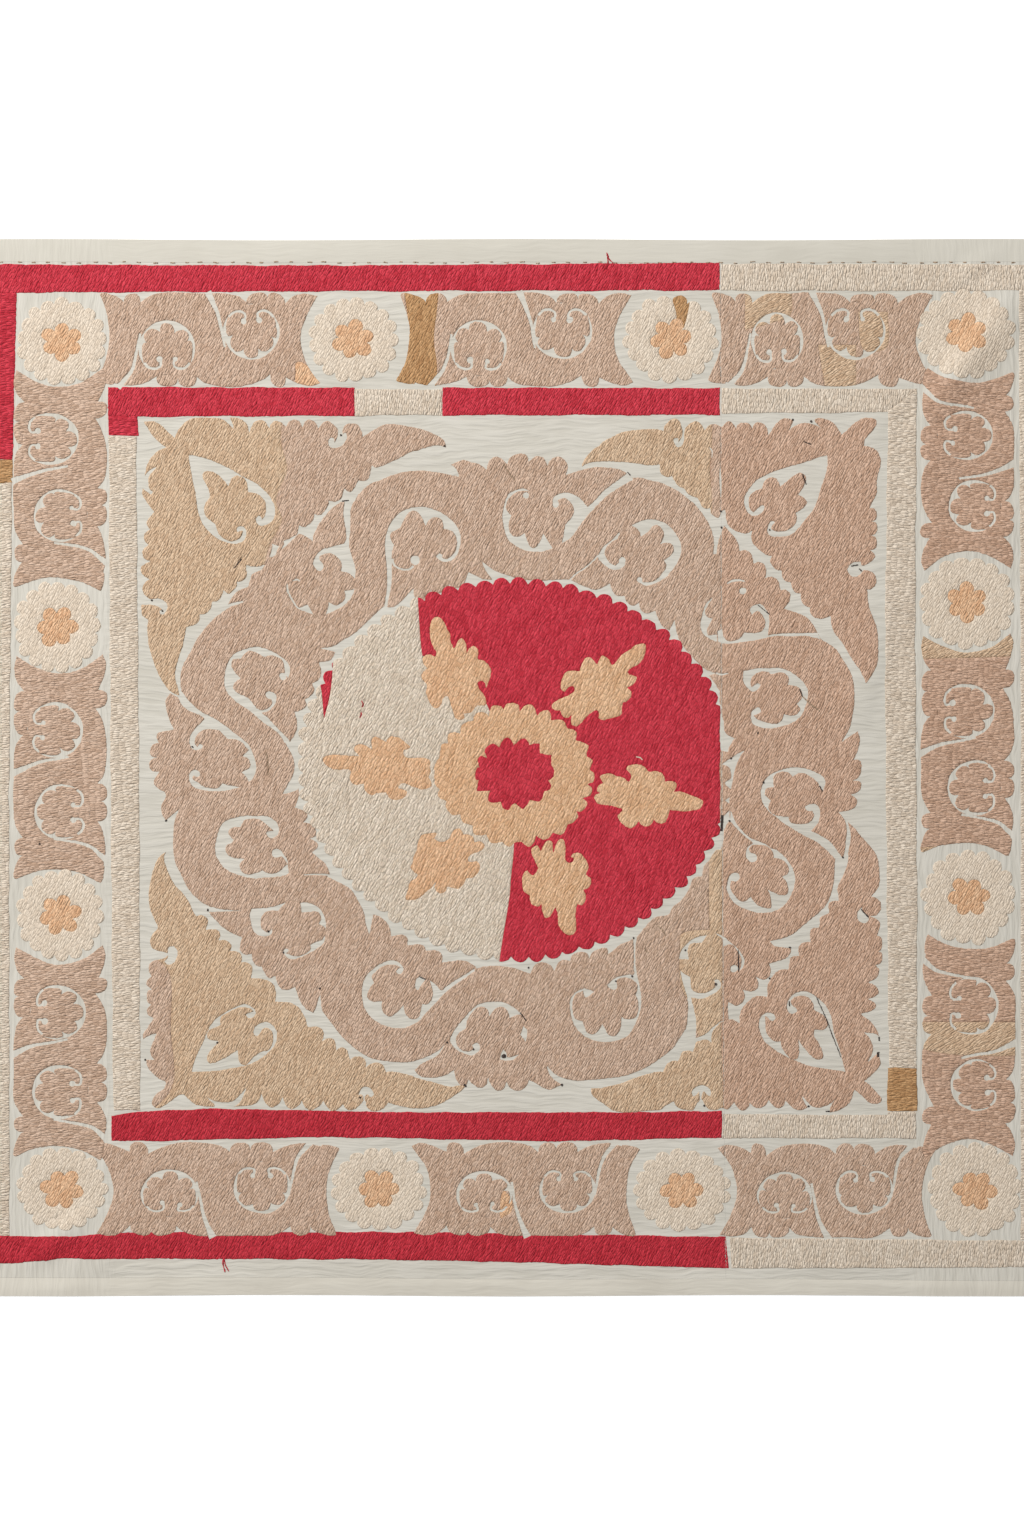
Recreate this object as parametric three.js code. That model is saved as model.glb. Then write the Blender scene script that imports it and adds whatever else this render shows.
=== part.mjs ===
// Suzani embroidered textile, lying face up and open on a surface.
// Two embroidered cotton panels are joined edge to edge by one upright seam. A heading strip is sewn
// along their top edge and a foot strip along their bottom edge.
// Millimetres, +Z up, +X along the longer side, origin under the middle of the cloth.

import * as THREE from "three";

// Driving dimensions
const WIDTH = 2102;
const HEIGHT = 2000;
const THICKNESS = 2; // cotton ground with its layer of stitching
const STITCHED_GAP = 0.3; // between neighbouring pieces
const HEADING_WIDTH = 43.5;
const FOOT_WIDTH = 32;
const FOOT_SLOPE = -0.0032; // the foot strip's seam runs a little downhill
const SEAM = { x: 389, lean: -0.0047, bow: 2.7e-6 }; // where the two panels meet
const SIDE_BOW = { deep: 4, every: 700 }; // how far the side edges draw in
const END_BOW = { deep: 2.5, every: 900 }; // how far the top and bottom edges draw in
const CELL = 55; // size of a facet

// Low ripples where the cloth doesn't lie quite flat. x, y: middle of the patch. along, across: half its
// length and width. turn: direction of its crest in degrees. high: height of its crest.
const RIPPLES = [
  { x: 877, y: 799, along: 210, across: 80, turn: 62, high: 5 }, // top right corner
  { x: 792, y: 600, along: 130, across: 60, turn: 60, high: 3 },
  { x: 915, y: 450, along: 110, across: 60, turn: 35, high: 3 },
  { x: 663, y: 184, along: 170, across: 60, turn: 75, high: 3.5 }, // right of the wreath
  { x: 631, y: -913, along: 220, across: 55, turn: 2, high: 2 }, // foot
  { x: -220, y: -925, along: 260, across: 55, turn: 0, high: 2.5 },
  { x: -794, y: -905, along: 110, across: 60, turn: 55, high: 4 }, // bottom left corner
  { x: -864, y: -440, along: 140, across: 65, turn: 70, high: 3 }, // left border
  { x: -765, y: -61, along: 180, across: 55, turn: 92, high: 2.5 },
  { x: -769, y: 393, along: 160, across: 60, turn: 88, high: 3 },
  { x: -740, y: 700, along: 120, across: 60, turn: 30, high: 2.5 },
  { x: -410, y: 960, along: 220, across: 50, turn: 0, high: 2 }, // heading
  { x: 392, y: -345, along: 200, across: 55, turn: 90, high: 2.5 }, // along the seam
  { x: 388, y: 560, along: 160, across: 55, turn: 90, high: 2 },
];

const COTTON = { roughness: 0.9, metalness: 0 };
const PANEL_COLOR = 0xc8a38a;
const HEADING_COLOR = 0xdcd7cb;
const FOOT_COLOR = 0xccc5b8;

const HALF_WIDTH = WIDTH / 2;
const HALF_HEIGHT = HEIGHT / 2;
const HALF_GAP = STITCHED_GAP / 2;

const seamX = (y) => SEAM.x + SEAM.lean * y + SEAM.bow * y * y;
const headingY = () => HALF_HEIGHT - HEADING_WIDTH;
const footY = (x) => FOOT_WIDTH - HALF_HEIGHT + FOOT_SLOPE * x;

// How high the cloth's underside lies above the surface.
function rise(x, y) {
  return RIPPLES.reduce((height, ripple) => {
    const turn = THREE.MathUtils.degToRad(ripple.turn);
    const dx = x - ripple.x;
    const dy = y - ripple.y;
    const along = (dx * Math.cos(turn) + dy * Math.sin(turn)) / ripple.along;
    const across = (dy * Math.cos(turn) - dx * Math.sin(turn)) / ripple.across;
    const inside = Math.max(0, 1 - along * along - across * across);
    return height + ripple.high * inside * inside;
  }, 0);
}

// A shallow scallop that leaves the corners and the middle of an edge where they are.
const drawnIn = (bow, place) => (bow.deep * (1 - Math.cos((2 * Math.PI * place) / bow.every))) / 2;

// Moves a point of the plain rectangle to where the slightly uneven outline has it.
function outlined(x, y) {
  const side = x / HALF_WIDTH;
  const end = y / HALF_HEIGHT;
  return [x - drawnIn(SIDE_BOW, y) * side ** 3, y - drawnIn(END_BOW, x) * end ** 3];
}

// A sheet between four edges. left and right are functions of y, bottom and top are functions of x.
function sheet({ left, right, bottom, top }) {
  const columns = Math.round((right(0) - left(0)) / CELL);
  const rows = Math.max(1, Math.round((top(0) - bottom(0)) / CELL));
  const positions = [];
  for (const lift of [0, THICKNESS]) {
    for (let row = 0; row <= rows; row += 1) {
      for (let column = 0; column <= columns; column += 1) {
        const nominalX = THREE.MathUtils.lerp(left(0), right(0), column / columns);
        const flatY = THREE.MathUtils.lerp(bottom(nominalX), top(nominalX), row / rows);
        const flatX = THREE.MathUtils.lerp(left(flatY), right(flatY), column / columns);
        const [x, y] = outlined(flatX, flatY);
        positions.push(x, y, rise(x, y) + lift);
      }
    }
  }

  const across = columns + 1;
  const upper = across * (rows + 1);
  const faces = [];
  const quad = (a, b, c, d) => faces.push(a, b, c, a, c, d);
  for (let row = 0; row < rows; row += 1) {
    for (let column = 0; column < columns; column += 1) {
      const a = row * across + column;
      quad(a, a + across, a + across + 1, a + 1);
      quad(upper + a, upper + a + 1, upper + a + across + 1, upper + a + across);
    }
  }
  for (let column = 0; column < columns; column += 1) {
    const far = rows * across + column;
    quad(column, column + 1, upper + column + 1, upper + column);
    quad(far + 1, far, upper + far, upper + far + 1);
  }
  for (let row = 0; row < rows; row += 1) {
    const near = row * across;
    const far = near + columns;
    quad(near + across, near, upper + near, upper + near + across);
    quad(far, far + across, upper + far + across, upper + far);
  }

  const geometry = new THREE.BufferGeometry();
  geometry.setAttribute("position", new THREE.Float32BufferAttribute(positions, 3));
  geometry.setIndex(faces);
  geometry.computeVertexNormals();
  return geometry;
}

function piece(name, color, edges) {
  const mesh = new THREE.Mesh(sheet(edges), new THREE.MeshStandardMaterial({ color, ...COTTON }));
  mesh.name = name;
  return mesh;
}

const leftEdge = () => -HALF_WIDTH;
const rightEdge = () => HALF_WIDTH;
const panelFoot = (x) => footY(x) + HALF_GAP;
const panelHead = () => headingY() - HALF_GAP;

const suzani = new THREE.Group();
suzani.add(
  piece("panel_left", PANEL_COLOR, {
    left: leftEdge,
    right: (y) => seamX(y) - HALF_GAP,
    bottom: panelFoot,
    top: panelHead,
  }),
  piece("panel_right", PANEL_COLOR, {
    left: (y) => seamX(y) + HALF_GAP,
    right: rightEdge,
    bottom: panelFoot,
    top: panelHead,
  }),
  piece("heading_strip", HEADING_COLOR, {
    left: leftEdge,
    right: rightEdge,
    bottom: () => headingY() + HALF_GAP,
    top: () => HALF_HEIGHT,
  }),
  piece("foot_strip", FOOT_COLOR, {
    left: leftEdge,
    right: rightEdge,
    bottom: () => -HALF_HEIGHT,
    top: (x) => footY(x) - HALF_GAP,
  }),
);

export default suzani;
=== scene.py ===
"""Suzani: two joined panels of cotton worked all over in flat couched stitching, lying face up.

The stitching is drawn on a chart, as the maker draws it on the cloth: shapes are laid one over another,
and each is either filled with a thread or left bare. The chart is then cut along its lines, and every
filled area becomes a low raised sheet of stitches on the cotton. Metres, +Z up.
"""

import math
import random

import bpy
import numpy as np
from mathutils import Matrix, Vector
from mathutils.geometry import delaunay_2d_cdt
from mathutils.kdtree import KDTree


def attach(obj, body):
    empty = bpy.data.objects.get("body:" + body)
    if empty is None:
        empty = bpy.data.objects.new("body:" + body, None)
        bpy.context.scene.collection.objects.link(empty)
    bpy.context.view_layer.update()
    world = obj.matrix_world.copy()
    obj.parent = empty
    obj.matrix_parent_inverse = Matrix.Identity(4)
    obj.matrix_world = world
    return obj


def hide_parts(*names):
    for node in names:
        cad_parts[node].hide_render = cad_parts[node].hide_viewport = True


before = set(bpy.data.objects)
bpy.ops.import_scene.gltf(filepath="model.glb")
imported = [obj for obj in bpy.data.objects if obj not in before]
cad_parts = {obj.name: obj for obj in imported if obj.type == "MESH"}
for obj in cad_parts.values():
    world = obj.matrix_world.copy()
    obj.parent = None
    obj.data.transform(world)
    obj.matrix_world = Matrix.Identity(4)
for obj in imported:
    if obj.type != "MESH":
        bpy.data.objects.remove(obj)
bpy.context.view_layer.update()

MM = 0.001

# ---------------------------------------------------------------------------------------------------------
# Sizes
# ---------------------------------------------------------------------------------------------------------

# The chart. Its squares are counted across from the left and down from the top.
SQUARE = 1.892 * MM
CHART_MIDDLE = (516.5, 767.5)

# The cloth, as it is cut and joined
WIDTH = 2102 * MM
HEIGHT = 2000 * MM
STITCHED_GAP = 0.3 * MM
HEADING_WIDTH = 43.5 * MM
FOOT_WIDTH = 32 * MM
FOOT_SLOPE = -0.0032
SEAM_X = 389 * MM
SEAM_LEAN = -0.0047
SEAM_BOW = 2.7e-3
SIDE_BOW = (4 * MM, 700 * MM)
END_BOW = (2.5 * MM, 900 * MM)
COTTON_THICK = 1.1 * MM
STRIP_THICK = 1.7 * MM  # the heading and the foot are doubled
COTTON_CELL = 10 * MM
EASE_HIGH = 0.25 * MM  # a slight unevenness all over
DEEPEST = 0.9 * MM  # how far a hollow may go into the cotton

# The stitching stands on the cotton
STITCHES_HIGH = 0.95 * MM
STITCHES_SINK = 0.35 * MM
EDGE_HIGH = 0.3 * MM
EDGE_LINE = 1.7  # chart squares between the points of a curved edge
STRAIGHT_LINE = 2.2  # and of a straight one
FIRST_ROW = 0.5  # chart squares from the edge to the first row of points
SECOND_ROW = 1.4
FILL_GRID = 4.2  # and between the points further in
UNEVEN_EDGE = 0.34  # how far the ends of the stitches stray
HAND_DRAWN = 0.7  # how far the drawn lines stray

# Low ripples where the cloth doesn't lie quite flat, in millimetres and degrees
RIPPLES = [  # x, y, along, across, turn, high
    (877, 799, 210, 80, 62, 5),
    (792, 600, 130, 60, 60, 3),
    (915, 450, 110, 60, 35, 3),
    (663, 184, 170, 60, 75, 3.5),
    (631, -913, 220, 55, 2, 2),
    (-220, -925, 260, 55, 0, 2.5),
    (-794, -905, 110, 60, 55, 4),
    (-864, -440, 140, 65, 70, 3),
    (-765, -61, 180, 55, 92, 2.5),
    (-769, 393, 160, 60, 88, 3),
    (-740, 700, 120, 60, 30, 2.5),
    (-410, 960, 220, 50, 0, 2),
    (392, -345, 200, 55, 90, 2.5),
    (388, 560, 160, 55, 90, 2),
]

# Creases that lie over the ripples. One with a height below 0 is a hollow in the upper side alone.
CREASES = [  # x, y, along, across, turn, high
    (850, 768, 220, 44, 54, 8.0),
    (862, 944, 80, 28, 32, 3.4),
    (940, 840, 110, 30, 58, 2.4),
    (700, 655, 120, 26, 40, 0.9),
    (640, 250, 150, 20, 62, 1.2),
    (690, 140, 130, 18, 70, -0.9),
    (730, 60, 140, 18, 66, 1.0),
    (-862, -888, 110, 36, 38, 6.5),
    (-775, -905, 90, 26, 50, -1.3),
    (-700, -940, 200, 16, 3, 1.4),
    (120, -944, 320, 14, -1, 1.3),
    (620, -948, 260, 14, 1, 1.2),
    (-560, -966, 230, 13, 1, 1.5),
    (-150, -976, 260, 13, -1, 1.4),
    (330, -968, 240, 13, 1, 1.2),
    (-860, -984, 160, 13, 2, 1.4),
    (760, -982, 200, 13, -1, 1.1),
    (-880, -300, 130, 24, 80, 1.0),
    (-760, 560, 110, 24, 25, 0.9),
    (520, 984, 70, 13, -7, 1.6),
    (440, 974, 60, 13, -4, -1.0),
    (-60, 982, 180, 13, 1, 0.8),
]


# ---------------------------------------------------------------------------------------------------------
# Drawing on the chart
# ---------------------------------------------------------------------------------------------------------


def smooth(points, closed=False, spacing=EDGE_LINE):
    """A smooth line through the points, which may carry a width or other values after x and y."""
    p = np.array(points, float)
    if closed:
        p = np.vstack([p[-1:], p, p[:2]])
    else:
        p = np.vstack([2 * p[0] - p[1], p, 2 * p[-1] - p[-2]])
    line = []
    for a, b, c, d in zip(p, p[1:], p[2:], p[3:]):
        before = max(math.dist(a[:2], b[:2]), 1e-6) ** 0.5
        within = max(math.dist(b[:2], c[:2]), 1e-6) ** 0.5
        after = max(math.dist(c[:2], d[:2]), 1e-6) ** 0.5
        leave = ((b - a) / before - (c - a) / (before + within)) * within + (c - b)
        arrive = ((d - c) / after - (d - b) / (within + after)) * within + (c - b)
        count = max(2, round(math.dist(b[:2], c[:2]) / spacing))
        t = (np.arange(count) / count)[:, None]
        start = (2 * t**3 - 3 * t**2 + 1) * b + (t**3 - 2 * t**2 + t) * leave
        end = (3 * t**2 - 2 * t**3) * c + (t**3 - t**2) * arrive
        line.append(start + end)
    if not closed:
        line.append(p[-2:-1])
    return np.vstack(line)


LOBE_FULL = 0.8  # 1 is a half oval, less is fuller


def lobe(start, top, end):
    """One round lobe between two notches."""
    start, top, end = (np.array(p, float)[:2] for p in (start, top, end))
    middle = (start + end) / 2
    length = math.dist(start, end) / 2 + math.dist(top, middle)
    count = max(4, round(1.6 * length / EDGE_LINE))
    turn = np.linspace(0, math.pi, count + 1)[:-1, None]
    cos = np.sign(np.cos(turn)) * np.abs(np.cos(turn)) ** LOBE_FULL
    return middle + (start - middle) * cos + (top - middle) * np.sin(turn) ** LOBE_FULL


def drawn(points):
    """A closed outline. A point with a third value is sharp, and the rest are rounded. A single round point
    between two sharp ones is the top of a lobe."""
    sharp = [i for i, p in enumerate(points) if len(p) > 2]
    if not sharp:
        return smooth(points, closed=True)
    points = points[sharp[0] :] + points[: sharp[0] + 1]
    line = []
    run = [points[0]]
    for p in points[1:]:
        run.append(p)
        if len(p) > 2:
            plain = [q[:2] for q in run]
            line.append(lobe(*plain) if len(plain) == 3 else smooth(plain)[:-1])
            run = [p]
    return np.vstack(line)


def channel(points):
    """A narrow strip, as wide at each point as its third value says."""
    line = smooth(points, spacing=1.3)
    way = np.gradient(line[:, :2], axis=0)
    way /= np.maximum(np.linalg.norm(way, axis=1), 1e-9)[:, None]
    side = np.stack([-way[:, 1], way[:, 0]], 1) * np.maximum(line[:, 2:3], 0.2) / 2
    return np.vstack([line[:, :2] + side, (line[:, :2] - side)[::-1]])


def disc(x, y, radius, count):
    turn = np.arange(count) / count * 2 * math.pi
    return np.stack([x + radius * np.cos(turn), y + radius * np.sin(turn)], 1)


def wheel(x, y, inner, outer, lobes, turn, round_by, squash, seed):
    """A ring of equal lobes, as the petals of a flower."""
    rng = random.Random(seed)
    count = lobes * max(6, round(2 * math.pi * outer / lobes / EDGE_LINE))
    tall = [rng.uniform(0.75, 1.2) for _ in range(lobes)]
    line = []
    for i in range(count):
        angle = 2 * math.pi * i / count
        bump = abs(math.sin(angle * lobes / 2)) ** round_by
        reach = inner + (outer - inner) * bump * tall[i * lobes // count]
        line.append((x + reach * math.cos(angle + turn), y + reach * squash * math.sin(angle + turn)))
    return np.array(line)


def turned(outline, x, y, degrees, size=1.0, squash=1.0):
    """Moves an outline drawn about 0, 0 to its place. squash narrows it across its own direction."""
    p = np.array(outline, float) * (size, size * squash)
    c, s = math.cos(math.radians(degrees)), math.sin(math.radians(degrees))
    return np.stack([x + p[:, 0] * c - p[:, 1] * s, y + p[:, 0] * s + p[:, 1] * c], 1)


# Each shape is (kind, thread piece, outline). Later shapes cover earlier ones.
SHAPES = []


def stitch(piece, outline):
    SHAPES.append(("stitched", piece, np.array(outline)))


def leave_bare(outline):
    SHAPES.append(("bare", None, np.array(outline)))


def change_thread(changes, outline):
    """Where the outline lies on stitching, a piece that changes names is worked in the other thread."""
    SHAPES.append(("changed", changes, np.array(outline)))


# ---------------------------------------------------------------------------------------------------------
# The bands that frame the borders and the field
# ---------------------------------------------------------------------------------------------------------


def straight(*corners):
    line = []
    for a, b in zip(corners, corners[1:] + corners[:1]):
        count = max(1, round(math.dist(a, b) / STRAIGHT_LINE))
        t = np.arange(count)[:, None] / count
        line.append(np.array(a) * (1 - t) + np.array(b) * t)
    return np.vstack(line)


# Each stretch of a band, by its corners
BANDS = [  # piece, corners
    ("band_red_top", [(-36, 264.5), (300, 266), (719.6, 263), (719.8, 290.5), (300, 291.5), (-36, 293)]),
    ("band_cream_top", [(721, 264), (1047, 265), (1046, 291), (721, 291)]),
    ("band_cream_right", [(1019, 290), (1047, 291), (1047, 1240), (1021, 1240), (1021, 700)]),
    ("band_red_left", [(-14, 292), (16.5, 293), (12.5, 459.5), (-14, 459.5)]),
    ("band_brown_left", [(-14, 459.7), (13, 459.7), (12.3, 483), (-14, 483)]),
    ("band_cream_left", [(-15, 483.2), (12, 483.2), (9, 800), (9.5, 1236), (-15, 1236)]),
    ("band_red_bottom", [(-36, 1235.5), (70, 1236.5), (120, 1232.5), (420, 1232), (726, 1237),
                         (728.5, 1268), (520, 1262), (380, 1259), (60, 1258.5), (20, 1262.5), (-36, 1264)]),
    ("band_cream_bottom", [(730, 1238), (1046, 1241), (1046, 1267), (731, 1268)]),
    ("inner_red_top", [(108, 387), (355, 387.5), (355, 416), (108, 417)]),
    ("inner_cream_top", [(355.2, 389), (442.5, 389.5), (442.5, 415), (355.2, 416)]),
    ("inner_red_top", [(442.8, 387.5), (720, 388), (720.3, 415), (442.8, 415.5)]),
    ("inner_cream_top", [(722, 388.5), (916, 389), (916, 411), (880, 412.5), (722, 413.5)]),
    ("inner_red_stub", [(108.5, 417), (138, 416.5), (138.5, 436), (109.5, 435.5)]),
    ("inner_cream_left", [(109, 436.2), (136.5, 436.5), (139.5, 800), (140.5, 1110), (113.5, 1110),
                          (111, 800)]),
    ("inner_cream_right", [(888, 411), (916.5, 389), (915, 640), (917, 900), (916.5, 1068), (889, 1068),
                           (887, 900), (885, 640)]),
    ("inner_brown_right", [(887.3, 1068), (916.6, 1068.4), (916.8, 1111), (887.6, 1110.5)]),
    ("inner_cream_bottom", [(723, 1113.8), (888, 1115), (888, 1111), (915.6, 1111.5), (915.6, 1138.5),
                            (723, 1138.2)]),
    ("inner_red_bottom", [(111, 1116), (140, 1111), (215, 1108.3), (400, 1112), (640, 1112), (722, 1110.6),
                          (722.3, 1137.5), (560, 1141.5), (330, 1137), (150, 1141.2), (112, 1141)]),
]
for piece, corners in BANDS:
    stitch(piece, straight(*corners))


# ---------------------------------------------------------------------------------------------------------
# Flowers
# ---------------------------------------------------------------------------------------------------------

FLOWERS = [  # x, y, half width, half height, turn of the star
    (62, 342, 46, 44, 0),
    (353, 340, 45, 43, 12),
    (671, 339, 48, 44, 20),
    (966, 334, 49, 46, 8),
    (57, 627, 44, 46, 30),
    (60, 915, 44, 46, 16),
    (967, 603, 49.5, 47, 0),
    (969, 897, 48, 48, 24),
    (62, 1189, 46, 42, 40),
    (379, 1189, 48, 42, 30),
    (682, 1190, 49, 41.5, 27),
    (975, 1190, 48, 47.5, 35),
]
PETALS = 17
PETAL_NOTCHES = 0.865  # as a share of the flower's reach
STAR_POINTS = 6
STAR = (13.5, 21)  # reach of its notches and points


def flower(x, y, across, down, star_turn, seed):
    ring = wheel(0, 0, across * PETAL_NOTCHES, across, PETALS, 0.1 * seed, 0.55, down / across, seed)
    stitch("flower_petals", turned(ring, x, y, 0))
    star = wheel(0, 0, *STAR, STAR_POINTS, math.radians(star_turn), 0.75, 0.96, seed + 50)
    stitch("flower_stars", turned(star, x, y, 0))


# ---------------------------------------------------------------------------------------------------------
# Palmettes: a five-lobed leaf in a round gap, joined to the work around it by its root
# ---------------------------------------------------------------------------------------------------------

# As shares of a palmette's radius
TIPS = 0.93
NOTCHES = 0.66
CURL = 0.6
CURL_WIDTH = 0.09
DRAWN_LARGE = 30  # a palmette is drawn this many times larger than its chart of radius 1, for smooth lines


def palmette(piece, x, y, away, radius, squash, seed):
    """away is the direction in degrees from its root to its middle lobe, clockwise from the right."""
    rng = random.Random(seed)
    leave_bare(turned(disc(0, 0, 1, count=44), x, y, away, radius, squash))
    corners = []
    for side in (1, -1):
        for lobe_angle, notch_angle in ((0, 26), (52, 78), (103, 130)):
            corners.append((side, lobe_angle + rng.uniform(-3, 3), TIPS * rng.uniform(0.96, 1.02)))
            corners.append((side, notch_angle + rng.uniform(-3, 3), NOTCHES * rng.uniform(0.92, 1.08)))
    outline = []
    for index, (side, angle, reach) in enumerate(corners[:5]):
        outline.append((angle, reach, index % 2))
    other = [(360 - a, r, i % 2) for i, (_, a, r) in enumerate(corners[6:])][1:5]
    outline += [(152, 1.12, 1), (208, 1.12, 1)] + other[::-1]
    points = []
    for angle, reach, sharp in outline:
        a = math.radians(angle)
        point = (reach * math.cos(a), reach * math.sin(a))
        points.append((*point, 1) if sharp else point)
    leaf = drawn([(p[0] * DRAWN_LARGE, p[1] * DRAWN_LARGE, *p[2:]) for p in points]) / DRAWN_LARGE
    stitch(piece, turned(leaf, x, y, away, radius, squash))
    for side in (1, -1):
        reach = CURL * rng.uniform(0.9, 1.1)
        route = [(0.97, 124, CURL_WIDTH), (0.95, 138, CURL_WIDTH), (0.86, 151, CURL_WIDTH),
                 ((reach + 0.86) / 2, 160, CURL_WIDTH * 0.9), (reach, 156, CURL_WIDTH),
                 (reach * 0.88, 146, CURL_WIDTH)]
        line = []
        for reach_out, angle, width in route:
            a = math.radians(angle)
            line.append((reach_out * math.cos(a), side * reach_out * math.sin(a), width))
        strip = channel([tuple(value * DRAWN_LARGE for value in place) for place in line]) / DRAWN_LARGE
        leave_bare(turned(strip, x, y, away, radius, squash))
        end = turned([line[-1][:2]], x, y, away, radius, squash)[0]
        leave_bare(disc(end[0], end[1], radius * rng.uniform(0.085, 0.125), count=10))


# ---------------------------------------------------------------------------------------------------------
# The scrolls of the borders
# ---------------------------------------------------------------------------------------------------------

# One scroll, charted along its border from its left end, 0, to its right end, 191, and across it from the
# outer side, -46, to the inner side, 46. Its two palmettes are at 57 and 142.
SCROLL_STOPS = (0, 57, 142, 191)
SCROLL = [
    (-10, -44, 1), (2, -45), (14, -36, 1), (22, -46), (31, -37, 1), (38, -42), (48, -46), (75, -46.5),
    (100, -46.5, 1), (109, -46.5, 1), (120, -45.5), (129, -43), (136.5, -37, 1), (147, -46), (158, -40, 1),
    (167, -46), (176, -36, 1), (184, -43), (196, -46), (208, -44, 1), (197, -24), (191, -4), (195, 20),
    (210, 43, 1), (202, 46), (190, 44), (177, 38, 1), (169, 47), (161, 35, 1), (152, 41), (140, 45.5),
    (122, 47), (105, 46), (95, 43), (87, 37, 1), (77, 47), (68, 38, 1), (57, 47), (47, 37, 1), (39, 42),
    (30, 45), (19, 46), (12, 45, 1), (4, 43, 1), (-4, 44), (-14, 40, 1), (-4, 20), (0, -4), (-3, -26),
]
LOW_SLIT = [(-49, 48, 6.5), (-43, 41, 5), (-35.5, 32, 3.6), (-31.5, 20, 3), (-29.5, 8, 2.6), (-27, -6, 2.4)]
HIGH_SLIT = [(-43, -48, 7.5), (-38.5, -38, 5), (-34, -26, 3.6), (-31, -14, 3), (-29, -2, 2.6),
             (-27, 8, 2.4)]

# Each border's middle line, and which way the scroll chart turns to lie on it
WAYS = {
    "top": lambda u, v, line: (u, line + v),
    "bottom": lambda u, v, line: (-u, line - v),
    "left": lambda u, v, line: (line + v, -u),
    "right": lambda u, v, line: (line - v, u),
}
AWAY = {"top": 0, "bottom": 180, "left": 270, "right": 90}
# piece, way, middle line, then along the border: left end, low palmette, high palmette, right end, then each
# palmette's place across the border, its half length and half width
SCROLLS = [
    ("scroll_top", "top", 339.5, 109.8, 167, 251.4, 300.5, (8.5, 28.5, 28), (-7.5, 28.5, 28)),
    ("scroll_top", "top", 339.5, 410, 478.5, 562, 614, (8.5, 28.5, 28), (-8.5, 30, 28.5)),
    ("scroll_top", "top", 339.5, 721.7, 777, 855, 916, (1, 26.5, 28), (-8.5, 30, 29)),
    ("scroll_bottom", "bottom", 1189.5, -326, -262, -170, -113.3, (2, 29, 25.5), (-3.5, 29, 23.5)),
    ("scroll_bottom", "bottom", 1189.5, -626, -567.5, -484.5, -431, (0, 28.5, 24), (-4.5, 28.5, 23.5)),
    ("scroll_bottom", "bottom", 1191, -921.6, -864, -784.5, -737, (1, 29, 25), (-4, 28, 23.5)),
    ("scroll_left", "left", 60, -577.5, -515.5, -439, -387, (0.5, 26.5, 27), (-9.5, 26, 28)),
    ("scroll_left", "left", 60, -869, -812, -730, -673.6, (2, 28, 28), (-5, 28, 28)),
    ("scroll_left", "left", 60, -1146, -1092, -1012, -964, (0, 27, 28), (-2, 27, 28)),
    ("scroll_right", "right", 967.5, 382.5, 435.5, 506, 551, (2, 24, 28), (-7.5, 26, 26)),
    ("scroll_right", "left", 967.5, -842.5, -788, -711, -652.7, (6.5, 28, 26.5), (-1.5, 27.5, 28)),
    ("scroll_right", "right", 969, 949, 1006, 1085, 1139.5, (-2, 29, 27), (-7, 25.5, 25.5)),
]


def scroll(piece, way, line, stops, low, high, seed):
    def at(u, v):
        near = min(max(u, 0), SCROLL_STOPS[-1])
        along = float(np.interp(near, SCROLL_STOPS, stops)) + (u - near)
        return WAYS[way](along, v, line)

    def beside(stop, points):
        place = stops[1] if stop == "low" else stops[2]
        return [(*WAYS[way](place + u, v, line), w) for u, v, w in points]

    stitch(piece, drawn([(*at(p[0], p[1]), *p[2:]) for p in SCROLL]))
    turn = AWAY[way]
    for stop, (across, long, wide), away in (("low", low, -90), ("high", high, 90)):
        place = stops[1] if stop == "low" else stops[2]
        x, y = WAYS[way](place, across, line)
        # across the border is the palmette's own direction, so its squash is its length along the border
        palmette(piece, x, y, turn + away, wide, long / wide, seed)
        seed += 1
    leave_bare(channel(beside("low", LOW_SLIT)))
    leave_bare(channel(beside("high", HIGH_SLIT)))


for index, (piece, way, line, *stops, low, high) in enumerate(SCROLLS):
    scroll(piece, way, line, stops, low, high, 10 * index + 7)
for index, (x, y, across, down, star_turn) in enumerate(FLOWERS):
    flower(x, y, across, down, star_turn, index + 1)


# ---------------------------------------------------------------------------------------------------------
# The corner leaves
# ---------------------------------------------------------------------------------------------------------

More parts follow.
